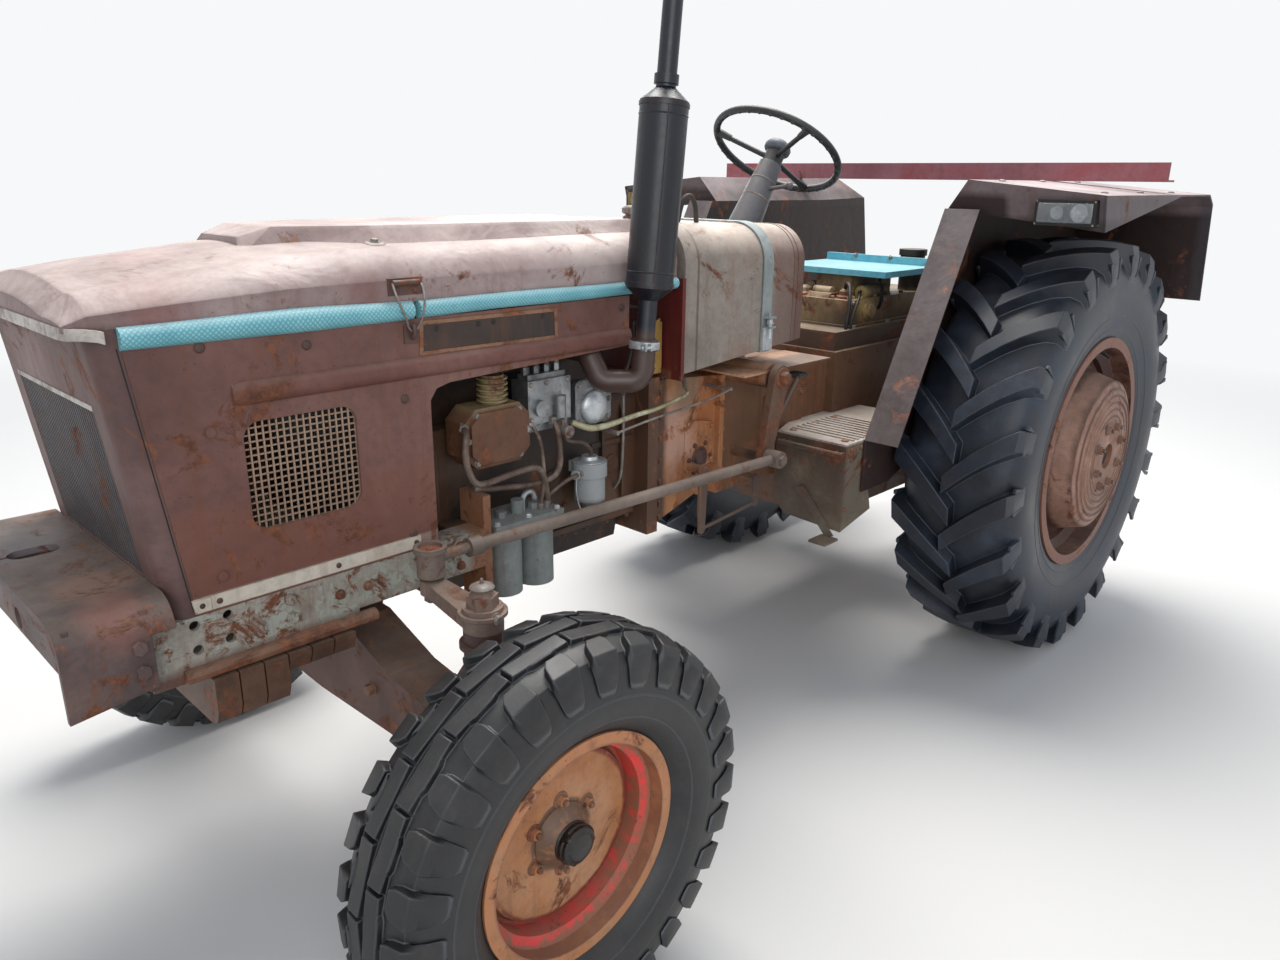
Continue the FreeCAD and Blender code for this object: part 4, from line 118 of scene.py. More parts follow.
def make_camera():
    yaw, pitch, roll = (radians(a) for a in CAMERA_TURN)
    ahead = Vector((cos(pitch) * cos(yaw), cos(pitch) * sin(yaw), sin(pitch)))
    level = Vector((sin(yaw), -cos(yaw), 0))
    lift = level.cross(ahead)
    right = level * cos(roll) + lift * sin(roll)
    up = lift * cos(roll) - level * sin(roll)
    data = bpy.data.cameras.new("camera")
    data.sensor_width = SENSOR
    data.lens = FOCAL_PIXELS / PHOTO_WIDTH * SENSOR
    data.clip_start = 0.05
    camera = bpy.data.objects.new("camera", data)
    turn = Matrix((right, up, -ahead)).transposed().to_4x4()
    camera.matrix_world = Matrix.Translation(at(*CAMERA_PLACE)) @ turn
    scene.collection.objects.link(camera)
    scene.camera = camera


def area_light(name, place, aim, size, power, colour):
    data = bpy.data.lights.new(name, "AREA")
    data.shape = "DISK"
    data.size = size
    data.energy = power
    data.color = colour
    lamp = bpy.data.objects.new(name, data)
    lamp.location = place
    lamp.rotation_mode = "QUATERNION"
    lamp.rotation_quaternion = (Vector(aim) - Vector(place)).to_track_quat("-Z", "Y")
    scene.collection.objects.link(lamp)


def seen_rays(tree):
    """1 for what the camera sees, straight, mirrored or through glass, and 0 for light."""
    rays = add_node(tree, "LightPath").outputs
    value = rays["Is Camera Ray"]
    for name in ("Is Glossy Ray", "Is Transmission Ray"):
        value = add_node(tree, "Math", {0: value, 1: rays[name]}, operation="MAXIMUM").outputs[0]
    return value


def make_world():
    world = bpy.data.worlds.new("world")
    scene.world = world
    world.use_nodes = True
    tree = world.node_tree
    light = tree.nodes["Background"]
    fill(tree, light.inputs["Color"], (0.8, 0.87, 1, 1))
    fill(tree, light.inputs["Strength"], 0.55)
    seen = add_node(tree, "Background", {"Color": BACKDROP, "Strength": 1})
    mix = add_node(tree, "MixShader", {0: seen_rays(tree), 1: light.outputs[0], 2: seen.outputs[0]})
    tree.links.new(mix.outputs[0], tree.nodes["World Output"].inputs["Surface"])


def make_floor():
    mesh = bpy.data.meshes.new("floor")
    r = FLOOR_HALF
    mesh.from_pydata([(-r, -r, -0.001), (r, -r, -0.001), (r, r, -0.001), (-r, r, -0.001)], [], [(0, 1, 2, 3)])
    floor = bpy.data.objects.new("floor", mesh)
    scene.collection.objects.link(floor)
    material = bpy.data.materials.new("floor")
    material.use_nodes = True
    tree = material.node_tree
    shader = tree.nodes["Principled BSDF"]
    fill(tree, shader.inputs["Base Color"], (0.66, 0.65, 0.63, 1))
    fill(tree, shader.inputs["Roughness"], 0.9)
    glow = add_node(tree, "Emission", {"Color": BACKDROP})
    place = add_node(tree, "TexCoord").outputs["Object"]
    away = add_node(tree, "VectorMath", {0: place}, operation="LENGTH").outputs["Value"]
    far = add_node(tree, "MapRange", {"Value": away, "From Min": FADE_START, "From Max": FADE_END}).outputs[0]
    share = add_node(tree, "Math", {0: far, 1: seen_rays(tree)}, operation="MULTIPLY").outputs[0]
    mix = add_node(tree, "MixShader", {0: share, 1: shader.outputs[0], 2: glow.outputs[0]})
    tree.links.new(mix.outputs[0], tree.nodes["Material Output"].inputs["Surface"])
    mesh.materials.append(material)


make_camera()
make_world()
make_floor()
area_light("sky", (-1.5, -1.5, 7), (0, 0, 0.8), 5, 670, (1, 0.98, 0.95))
area_light("front", (5, 5.5, 3.6), (0.3, 0.2, 0.7), 5, 180, (0.96, 0.98, 1))
area_light("back", (-5, -5, 4), (0, 0, 0.8), 5, 160, (0.97, 0.98, 1))


# Materials

class Nodes:
    """A material under construction: helpers return the outputs they make."""

    def __init__(self, name):
        self.mat = bpy.data.materials.new(name)
        self.mat.use_nodes = True
        self.tree = self.mat.node_tree
        self.shader = self.tree.nodes["Principled BSDF"]
        self.place = self.new("TexCoord").outputs["Object"]

    def new(self, kind, inputs=(), **settings):
        return add_node(self.tree, kind, inputs, **settings)

    def noise(self, scale, detail=6, rough=0.6, bend=0, stretch=None):
        place = self.place
        if stretch:
            place = self.new("Mapping", {"Vector": place, "Scale": stretch}).outputs[0]
        return self.new("TexNoise", {"Scale": scale, "Detail": detail, "Roughness": rough, "Distortion": bend,
                                     "Vector": place}).outputs["Fac"]

    def ragged(self, scale, detail, size):
        return self.times(self.less(self.noise(scale, detail, 0.7), 0.5), size)

    def band(self, value, low, high, out0=0, out1=1):
        """Low to high as 0 to 1, or as out0 to out1."""
        return self.new("MapRange", {"Value": value, "From Min": low, "From Max": high, "To Min": out0,
                                     "To Max": out1}, clamp=True).outputs[0]

    def sum(self, kind, a, b=0):
        return self.new("Math", {0: a, 1: b}, operation=kind).outputs[0]

    def times(self, a, b):
        return self.sum("MULTIPLY", a, b)

    def plus(self, a, b):
        return self.sum("ADD", a, b)

    def less(self, a, b):
        return self.sum("SUBTRACT", a, b)

    def vector(self, kind, a, b=None):
        inputs = {0: a} if b is None else {0: a, 1: b}
        return self.new("VectorMath", inputs, operation=kind).outputs

    def split(self, vector):
        return self.new("SeparateXYZ", {0: vector}).outputs

    def normal(self):
        return self.new("NewGeometry").outputs["Normal"]

    def mix(self, a, b, share, how="MIX"):
        return self.new("Mix", {"Factor": share, 6: a, 7: b}, data_type="RGBA", blend_type=how).outputs[2]

    def ramp(self, value, colours):
        node = self.new("ValToRGB", {0: value})
        stops = node.color_ramp.elements
        for n, colour in enumerate(colours):
            spot = 0.32 + 0.36 * n / max(1, len(colours) - 1)
            stop = stops[n] if n < 2 else stops.new(spot)
            stop.position = spot
            stop.color = colour
        return node.outputs[0]

    def grain(self, colour, fine, low, high, share):
        """Darkens and brightens a colour by fine noise."""
        return self.mix(colour, self.ramp(fine, [(g, g, g, 1) for g in (low, 1, high)]), share, "MULTIPLY")

    def reach(self, x, z):
        """Distance in metres from a line along Y through (x, z)."""
        shift = self.vector("SUBTRACT", self.place, at(x, 0, z))[0]
        return self.vector("LENGTH", self.vector("MULTIPLY", shift, (1, 0, 1))[0])["Value"]

    def spot(self, x, y, z, radius):
        """Near 1 round a place, with a ragged rim."""
        away = self.vector("DISTANCE", self.place, at(x, y, z))["Value"]
        size = self.plus(away, self.ragged(16, 9, radius * 0.0012))
        return self.band(size, radius * 0.001, radius * 0.00045)

    def soft_edge(self, radius):
        return self.new("Bevel", {"Radius": radius}, samples=3).outputs[0]

    def edge_share(self, rounded):
        """Near 1 along sharp edges, 0 on flats."""
        return self.band(self.vector("DOT_PRODUCT", rounded, self.normal())["Value"], 0.995, 0.9)

    def bump(self, height, strength, distance, normal):
        inputs = {"Height": height, "Strength": strength, "Distance": distance}
        if normal is not None:
            inputs["Normal"] = normal
        return self.new("Bump", inputs).outputs[0]

    def finish(self, colour, rough, height, strength, metal=0, rounded=None, distance=0.002):
        normal = self.bump(height, strength, distance, rounded)
        values = {"Base Color": colour, "Roughness": rough, "Metallic": metal, "Normal": normal}
        for name, value in values.items():
            fill(self.tree, self.shader.inputs[name], value)
        return self.mat


def worn_paint(name, paint, rust=0.35, dust_and_top_light=0.4, streaks=0.4, gloss=0.5, edge=0.0015, rusts=RUSTS, scale=1,
               flakes=None, dust_and_top_light_colour=DUST, over=None, dents=0):
    """Old paint: faded patches, runs, rust blooms, pits, dust with painted light on top faces, and rust along
    the edges.
    """
    m = Nodes(name)
    rusts = tints(rusts)
    broad = m.noise(3.1 * scale, 8, 0.62, 0.4)
    fine = m.noise(46 * scale, 9, 0.7)
    colour = m.grain(m.ramp(broad, tints(paint)), fine, 0.55, 1.25, 0.45)
    if flakes:
        chips = m.noise(9 * scale, 10, 0.72, 0.6)
        colour = m.mix(colour, tint(flakes), m.band(chips, 0.532, 0.552))
    if streaks:
        runs = m.noise(1, 7, 0.65, 0.2, (34 * scale, 34 * scale, 2.6 * scale))
        colour = m.mix(colour, rusts[1], m.times(m.band(runs, 0.52, 0.74), streaks))
    if over:
        colour = over(m, colour)
    bloom = m.noise(7.3 * scale, 11, 0.74, 0.8)
    rusted = m.band(bloom, 0.66 - 0.3 * rust, 0.72 - 0.3 * rust)
    rounded = m.soft_edge(edge) if edge else None
    if edge and edge < 0.01:
        worn = m.times(m.edge_share(rounded), m.band(m.noise(22), 0.35, 0.6))
        rusted = m.sum("MAXIMUM", rusted, worn)
    colour = m.mix(colour, m.ramp(m.noise(30 * scale, 9, 0.75), rusts), rusted)
    pits = m.band(m.noise(150 * scale, 3), 0.66, 0.72)
    colour = m.mix(colour, rusts[0], m.times(pits, 0.7))
    # Upward faces drift towards the dust colour: partly real dust, partly painted light on top faces.
    if dust_and_top_light:
        up = m.band(m.split(m.normal())["Z"], 0.25, 0.95)
        grit = m.band(m.noise(5 * scale, 9, 0.7), 0.25, 0.75)
        colour = m.mix(colour, tint(dust_and_top_light_colour), m.times(m.times(up, grit), dust_and_top_light))
    if dents:
        rounded = m.bump(m.noise(5.5, 4, 0.55, 0.5), 1, dents, rounded)
    rough = m.band(m.plus(m.times(rusted, 0.6), m.times(fine, 0.5)), 0.1, 1, gloss, 0.92)
    height = m.plus(m.times(fine, 0.5), m.times(broad, 0.6))
    height = m.less(height, m.plus(m.times(rusted, 0.25), m.times(pits, 0.3)))
    return m.finish(colour, rough, height, 0.35, 0, rounded)


def rubber(name, base, brown):
    m = Nodes(name)
    broad = m.noise(5, 9, 0.66, 0.3)
    fine = m.noise(120, 6, 0.7)
    colour = m.grain(m.ramp(broad, tints(base)), fine, 0.6, 1.3, 0.5)
    dirt = m.band(m.noise(11, 10, 0.75, 0.5), 0.52, 0.74)
    colour = m.mix(colour, tint(brown), m.times(dirt, 0.55))
    rounded = m.soft_edge(0.003)
    # Edges lightened to blue-grey: a painted highlight.
    colour = m.mix(colour, tint("787e84"), m.times(m.edge_share(rounded), 0.38))
    rough = m.band(broad, 0.3, 0.7, 0.36, 0.58)
    return m.finish(colour, rough, m.plus(m.times(fine, 0.6), broad), 0.25, 0, rounded)


def plain_metal(name, colours, rough=0.4, metal=0.9, dirt=0.4, dirt_colour=RUST_DARK, edge=0.0012):
    """Bare or dull metal with grime in patches."""
    m = Nodes(name)
    fine = m.noise(70, 8, 0.7)
    colour = m.grain(m.ramp(m.noise(12, 8, 0.65, 0.3), tints(colours)), fine, 0.65, 1.2, 0.4)
    grime = m.band(m.noise(19, 9, 0.72, 0.5), 0.62 - 0.25 * dirt, 0.8 - 0.25 * dirt)
    colour = m.mix(colour, tint(dirt_colour), m.times(grime, 0.85))
    rounded = m.soft_edge(edge) if edge else None
    rough = m.band(m.plus(m.times(grime, 0.7), m.times(fine, 0.3)), 0.1, 0.9, rough, 0.9)
    return m.finish(colour, rough, m.plus(fine, grime), 0.2, m.times(m.less(1, grime), metal), rounded)


def rings(x, z, bands):
    """Paint in rings round a wheel's axle: (inner radius, outer radius, colour, share) in metres."""
    def over(m, colour):
        r = m.plus(m.reach(x, z), m.ragged(9, 8, 0.02))
        for inner, outer, shade, share in bands:
            inside = m.times(m.band(r, inner - 0.003, inner + 0.003), m.band(r, outer + 0.003, outer - 0.003))
            patchy = m.band(m.noise(14, 9, 0.72, 0.4), 0.62 - 0.4 * share, 0.74 - 0.4 * share)
            colour = m.mix(colour, tint(shade), m.times(inside, patchy))
        return colour
    return over


def spots(*places):
    """Patches of other colours: (x, y, z, radius, colour, share)."""
    def over(m, colour):
        for x, y, z, radius, shade, share in places:
            colour = m.mix(colour, tint(shade), m.times(m.spot(x, y, z, radius), share))
        return colour
    return over


def zones(*places):
    """Boxes of other colours: (colour, share, limits). Each of the limits x0, x1, y0, y1, z0 and z1
    may be left out, and y0 and y1 count from the middle plane."""
    def over(m, colour):
        x, y, z = m.split(m.place)
        ways = (("x", x, AXLE_X), ("y", m.sum("ABSOLUTE", y), 0), ("z", z, 0))
        ragged = m.ragged(12, 9, 0.02)
        for shade, share, limits in places:
            for axis, way, shift in ways:
                low, high = limits.get(axis + "0"), limits.get(axis + "1")
                thin = low is not None and high is not None and high - low < 60
                soft = 0.0015 if thin else 0.012
                value = way if thin else m.plus(way, ragged)
                if low is not None:
                    edge = low * 0.001 + shift
                    share = m.times(share, m.band(value, edge - soft, edge + soft))
                if high is not None:
                    edge = high * 0.001 + shift
                    share = m.times(share, m.band(value, edge + soft, edge - soft))
            colour = m.mix(colour, tint(shade), share)
        return colour
    return over


def both(first, second):
    def over(m, colour):
        return second(m, first(m, colour))
    return over


def braid(name):
    """Garden hose skin: two sets of threads wound round it under a milky turquoise layer."""
    m = Nodes(name)
    x, y, z = m.split(m.place)
    side = m.less(m.sum("ABSOLUTE", y), HOSE_Y * 0.001)
    turn = m.sum("ARCTAN2", side, m.less(z, HOSE_Z * 0.001))
    threads = [m.band(m.sum("SINE", m.plus(m.times(x, 700), m.times(turn, wind))), 0.2, 0.9)
               for wind in (13, -13)]
    net = m.sum("MAXIMUM", *threads)
    colour = m.ramp(m.noise(8), tints("70b2bc 84c4cc 98d2d6"))
    colour = m.mix(colour, tint("3e808e"), m.times(net, 0.62))
    # Upper side lightened to pale turquoise: a painted highlight.
    up = m.band(m.split(m.normal())["Z"], 0.2, 0.9)
    colour = m.mix(colour, tint("c4e2e6"), m.times(up, 0.45))
    grime = m.band(m.noise(40, 8, 0.7), 0.58, 0.75)
    colour = m.mix(colour, tint("464642"), m.times(grime, 0.45))
    return m.finish(colour, 0.42, m.less(1, net), 0.5, 0, None, 0.001)


def glass(name, colour):
    m = Nodes(name)
    fill(m.tree, m.shader.inputs["Transmission Weight"], 0.85)
    fill(m.tree, m.shader.inputs["IOR"], 1.45)
    haze = m.noise(60)
    return m.finish(m.mix(tint(colour), tint(DUST), m.band(haze, 0.5, 0.8, 0, 0.35)), 0.06, haze, 0.1)


LOOKS = {
    "front_frame": worn_paint("rail_paint", "80786c 9e988c 6e5442", 0.46, 0.3, flakes="a2a498", scale=2.2,
        over=zones(("5a3830", 0.9, dict(z1=716)), ("885634", 0.88, dict(x1=2092)))),
    "front_bumper": worn_paint("bumper_plate", "3e302e 544442 705a52", 0.42, 0.4, scale=2,
        over=spots((2790, 180, 868, 90, "a07058", 0.6), (2800, 290, 850, 70, "965c4e", 0.6),
        (2830, -120, 868, 120, "888488", 0.5))),
    "ballast_weights": worn_paint("ballast_rust", "36261b 4e3729 745642", 0.35, 0.25),
    "front_axle": worn_paint("axle_rust", "3e2a24 543a32 705246", 0.45, 0.35),
    "nose_shell": worn_paint("nose_paint", "503834 684e49 86706b", 0.36, 0.4, 0.7, dents=0.006),
    "grille": worn_paint("grille_paint", "38383c 525052 625e5c", 0.22, 0.2, 0.2),
    "radiator": worn_paint("radiator_paint", "0e0e0e 161514", 0.1, 0.1),
    # Bonnet: its pale dust colour on top is partly painted light on the lid's top.
    "bonnet": worn_paint("bonnet_paint", "7a625e 927c78 a6928d", 0.24, 0.9, edge=0.016, dents=0.014,
        dust_and_top_light_colour="d8c7c0", over=spots((2650, 240, 1330, 90, "8a544e", 0.5),
        (2600, 60, 1390, 70, "a06e68", 0.4), (2300, 282, 1330, 60, "784c46", 0.5),
        (2340, 150, 1412, 45, "604e4a", 0.6), (1720, 286, 1345, 260, "b0a09c", 0.6),
        (1700, 200, 1400, 150, "c4b6ae", 0.5))),
    # Side panels: the lighter band on the bead (z 1158 to 1198) is a painted highlight.
    "side_panels": worn_paint("panel_paint", "583a34 6e4a42 805c52", 0.36, 0.3, 0.7, dents=0.004,
        over=zones(("c4b8a8", 0.9, dict(y0=289.2, z0=808, z1=838)), ("88685c", 0.5,
        dict(x1=2562, y0=289.5, z0=1158, z1=1198)), ("7e4c3a", 0.35, dict(z0=780, z1=990)))),
    "side_meshes": worn_paint("mesh_wire", "8a705c aa8e78", 0.25, 0, edge=0),
    "engine_block": worn_paint("block_oil", "120e0c 261c16 543c2a", 0.26, 0.1,
        over=zones(("603c24", 0.5, dict(x1=1600, y0=150, z1=1000)))),
    "fuel_injection_pump": plain_metal("pump_alloy", "606264 86888a a6a8a8", 0.42),
    "compressor": worn_paint("compressor_cast", "281912 563624 744e34", 0.4, 0.15,
        over=zones(("968a60", 0.8, dict(z0=1062)))),
    "fuel_filters": worn_paint("filter_paint", "626868 7e8482 8c8e8a", 0.2, 0.3,
        over=zones(("a8aaaa", 0.7, dict(x1=1800, z0=772)), ("2e231d", 0.95, dict(x1=1770, z1=771)))),
    # The blue cast in the exhaust's black is a painted reflection of the sky.
    "exhaust": worn_paint("exhaust_black", "050b14 09111d 0f1928", 0.03, 0, 0.05, 0.26,
        over=zones(("4a362e", 0.85, dict(z1=1200)))),
    # Gearbox: the dark brown on the front flange (x from 1392) is painted shade between the bell housing and
    # the block.
    "gearbox_housing": worn_paint("gearbox_rust", "8c5a3a b27c54 c69c80", 0.36, 0.35, 0.9,
        rusts="603824 865232 b07446", over=both(spots((1360, 200, 870, 130, "c49e8c", 0.7),
        (1180, 170, 930, 110, "b46e3e", 0.6), (1290, 190, 980, 80, "6e685c", 0.6),
        (1120, 230, 700, 130, "966440", 0.7)), zones(("4a362c", 0.7, dict(x1=1100, z1=1020)),
        ("422e23", 0.9, dict(x0=1392)), ("4c423c", 0.92, dict(x1=1300, y0=222, z1=780)),
        ("46322c", 0.8, dict(x1=1110, y0=216, z0=700, z1=1040))))),
    "rear_axle_housing": worn_paint("axle_case_rust", "50382a 74543c", 0.5, 0.4),
    "lift_housing": worn_paint("lift_cast", "4a3c2a 766246 a08c6a", 0.42, 0.5,
        over=both(zones(("1e1b1a", 0.95, dict(x1=0, y0=30, z0=1152)), ("423028", 0.85, dict(z1=1062))),
        spots((330, 100, 1150, 90, "c4aa6e", 0.7), (180, 75, 1200, 70, "28201a", 0.8),
        (420, 140, 1080, 80, "322820", 0.7)))),
    # Tank: the near-white dust colour on top is partly painted light on its top.
    "fuel_tank": worn_paint("tank_paint", "766a62 92887e 866858", 0.3, 0.95, dust_and_top_light_colour="f0dece",
        dents=0.004, over=zones(("6c4e46", 0.62, dict(x1=1060, z1=1400)),
        ("543c32", 0.7, dict(x0=1376, x1=1384)), ("5c3e36", 0.5, dict(x1=966)))),
    "tank_strap": plain_metal("strap_steel", "8a9292 a8aeac", 0.45, 0.3, 0.2),
    "tank_cradle": worn_paint("bulkhead_paint", "541412 681e1a", 0.35, 0.2),
    "steering_column": worn_paint("column_paint", "404248 54565c 625c5a", 0.2, 0.3, 0.2, 0.3),
    "footplates": worn_paint("plate_paint", "8a807a a49c96 b4aea8", 0.3, 0.7, 0.2),
    "step_guards": worn_paint("guard_paint", "362820 54463a 786e5e", 0.42, 0.3,
        over=zones(("7e7668", 0.6, dict(x1=874, y0=440)))),
    # Fenders: the pale dust colour on top is partly painted light on their tops.
    "fenders": worn_paint("fender_paint", "5c4c4c 726364 847575", 0.3, 0.8, dents=0.006, dust_and_top_light_colour="d4c6c5",
        over=both(zones(("261512", 0.93, dict(z1=1436)), ("241412", 0.93, dict(x1=470, y1=640, z1=1500)),
        ("424044", 0.6, dict(y0=880, z1=1500))), spots((480, 560, 1000, 160, "542a1e", 0.6),
        (200, 700, 1540, 160, "b0928c", 0.6)))),
    "fender_lamps": plain_metal("lamp_case", "101011 1a1a1b", 0.4, 0, 0.2),
    "fender_tie_bar": worn_paint("tie_paint", "864e54 965e64 923e42", 0.15, 0.45),
    "seat_board": worn_paint("seat_paint", "60b0c4 78c0ce", 0.1, 0.5, 0.1),
    "drawbar": worn_paint("drawbar_rust", EARTH, 0.6, 0.3),
    "steering_wheel": worn_paint("wheel_plastic", "1a1b1e 282a2e", 0, 0.3, 0, 0.35),
    "lift_arms": worn_paint("lift_arm_rust", EARTH, 0.6, 0.3),
    "lift_rods": worn_paint("lift_rod_rust", EARTH, 0.5, 0.3),
    "lower_links": worn_paint("lower_link_rust", EARTH, 0.6, 0.3),
    # The blue cast in the rear rubber's colours is a painted reflection of the sky.
    "rear_tyre": rubber("rear_rubber", "141820 1f2530 323b49", "383230"),
    "rear_rim": worn_paint("rear_rim_paint", "765242 96705e b69280", 0.34, 0.3,
        over=rings(0, TYRE_R, [(0.128 + 0.022 * n, 0.136 + 0.022 * n, "54362a", 0.85) for n in range(6)] + [
        (0.262, 0.35, "462822", 0.95), (0, 0.128, "845c48", 0.5), (0.35, 0.4, "7c5444", 0.9)])),
    "front_tyre": rubber("front_rubber", "181819 222224 343332", "423a34"),
    "front_rim": worn_paint("front_rim_paint", "885636 aa7248 b68c6a", 0.3, 0.3,
        over=rings(WHEELBASE, FRONT_R, ((0.157, 0.17, "743226", 0.7), (0.17, 0.2, "8e5e46", 0.8),
        (0.177, 0.192, "e23e3c", 0.46), (0.2, 0.24, "b47850", 0.5), (0, 0.07, "684e3c", 0.6)))),
    "knuckle": worn_paint("knuckle_rust", "64524a 846e62 9e887a", 0.4, 0.5),
    "drag_link": worn_paint("link_rust", "5e5048 74665c 86766a", 0.32, 0.4),
    "drop_arm": worn_paint("drop_arm_rust", "543c30 705646", 0.45, 0.4),
    "seam_hoses": worn_paint("hose_skin", "54a0ac 78c0c8", 0, 0.2, 0),
    "hose": braid("hose_braid"),
    "black": plain_metal("grime_black_and_hole_shade", "0e0d0d 181615 221e1c", 0.5, 0.1, 0.3),
    "gap_and_shade": plain_metal("seam_dark_and_shade", "141214 201c1e", 0.8, 0, 0.3, edge=0),
    "wire": plain_metal("bare_wire", "6e6a66 a09c96", 0.4, 0.5, 0.5, RUST_MID, 0.0005),
    "steel": plain_metal("bolt_steel", "605a56 86807a a09a94", 0.5, 0.4, 0.6, RUST_MID),
    "silver": plain_metal("bright_alloy", ALLOY, 0.35, 0.5, 0.25, "54483c"),
    "rubber": plain_metal("hose_rubber", "181616 2a2523 3c322e", 0.6, 0, 0.5, "543e2e"),
    "brass": plain_metal("brassy_pipe", "8e8866 b0aa86 cec8aa", 0.4, 0.4, 0.5),
    "pipe": plain_metal("fuel_pipe", "46362e 68564c 8c7c70", 0.5, 0.3, 0.4),
    "rust": worn_paint("loose_rust", EARTH, 0.6, 0.3),
    "dark_screw": worn_paint("dark_screw", "342420 4c3630 604840", 0.3, 0.2),
    "pale_strip": worn_paint("pale_strip", "c4b8a6 d0c6b6 b8a08a", 0.14, 0.2, 0.35),
    "latch": worn_paint("latch_paint", "3a2824 523a34 685048", 0.4, 0.3),
    "cap": plain_metal("wheel_cap", "4a4e56 5c616a 6c7078", 0.5, 0.1, 0.2),
    "orange": worn_paint("orange_rust", "783e22 a05832 b67046", 0.3, 0.2),
    "patch": worn_paint("badge_place", "1e1816 30241e 463228", 0.35, 0.1),
    "patch_rim": worn_paint("badge_rim", "7a543e 966e54", 0.5, 0.1),
    "trim": plain_metal("trim_strip", "827a74 b0a8a0 cec8c0", 0.35, 0.3, 0.4, RUST_MID),
    "lens": glass("lamp_lens", "e2e6e8"),
    "amber": glass("lamp_amber", "dcbe78"),
    "reflector": plain_metal("reflector", "bec2c6 dce0e2", 0.2, 0.8, 0.1),
    "cable_plate": worn_paint("cable_plate", "96763c b08c4c", 0.35, 0.2),
    "grease": plain_metal("old_grease", "0c0b0b 161312 241e1b", 0.3, 0, 0.3, "3c2c22"),
    "grip": rubber("grip_rubber", "1a1a1c 262628 343436", "463c36"),
    # Rib: its lighter top is partly dust, partly a painted highlight along the rib.
    "rib": worn_paint("rib_paint", "54322c 684038 7e564c", 0.4, 0.6, 0.42, dust_and_top_light_colour="ac8c7e"),
}

SLOTS = {part["node"]: part["material_slot"] for part in frame["record"]["subparts"]}


def smooth_faces(mesh, angle):
    mesh.polygons.foreach_set("use_smooth", [True] * len(mesh.polygons))
    mesh.set_sharp_from_angle(angle=radians(angle))


for node, obj in frame["nodes"].items():
    obj.data.materials.clear()
    obj.data.materials.append(LOOKS[SLOTS[node]])
    smooth_faces(obj.data, 62 if node == "bonnet" else 28)


# Mesh building

def spread(a, b, t):
    return a + (b - a) * t


def along_line(table, x):
    """Straight-line reading of a table of (x, value) pairs in rising x."""
    if x <= table[0][0]:
        return table[0][1]
    for (x0, v0), (x1, v1) in zip(table, table[1:]):
        if x <= x1:
            return v0 + (v1 - v0) * (x - x0) / (x1 - x0)
    return table[-1][1]


def around(count, radius, start, a=0, b=0):
    """Points on a circle round (a, b) as pairs, from the share start of a step on."""
    for n in range(count):
        turn = tau * (n + start) / count
        yield a + radius * cos(turn), b + radius * sin(turn)


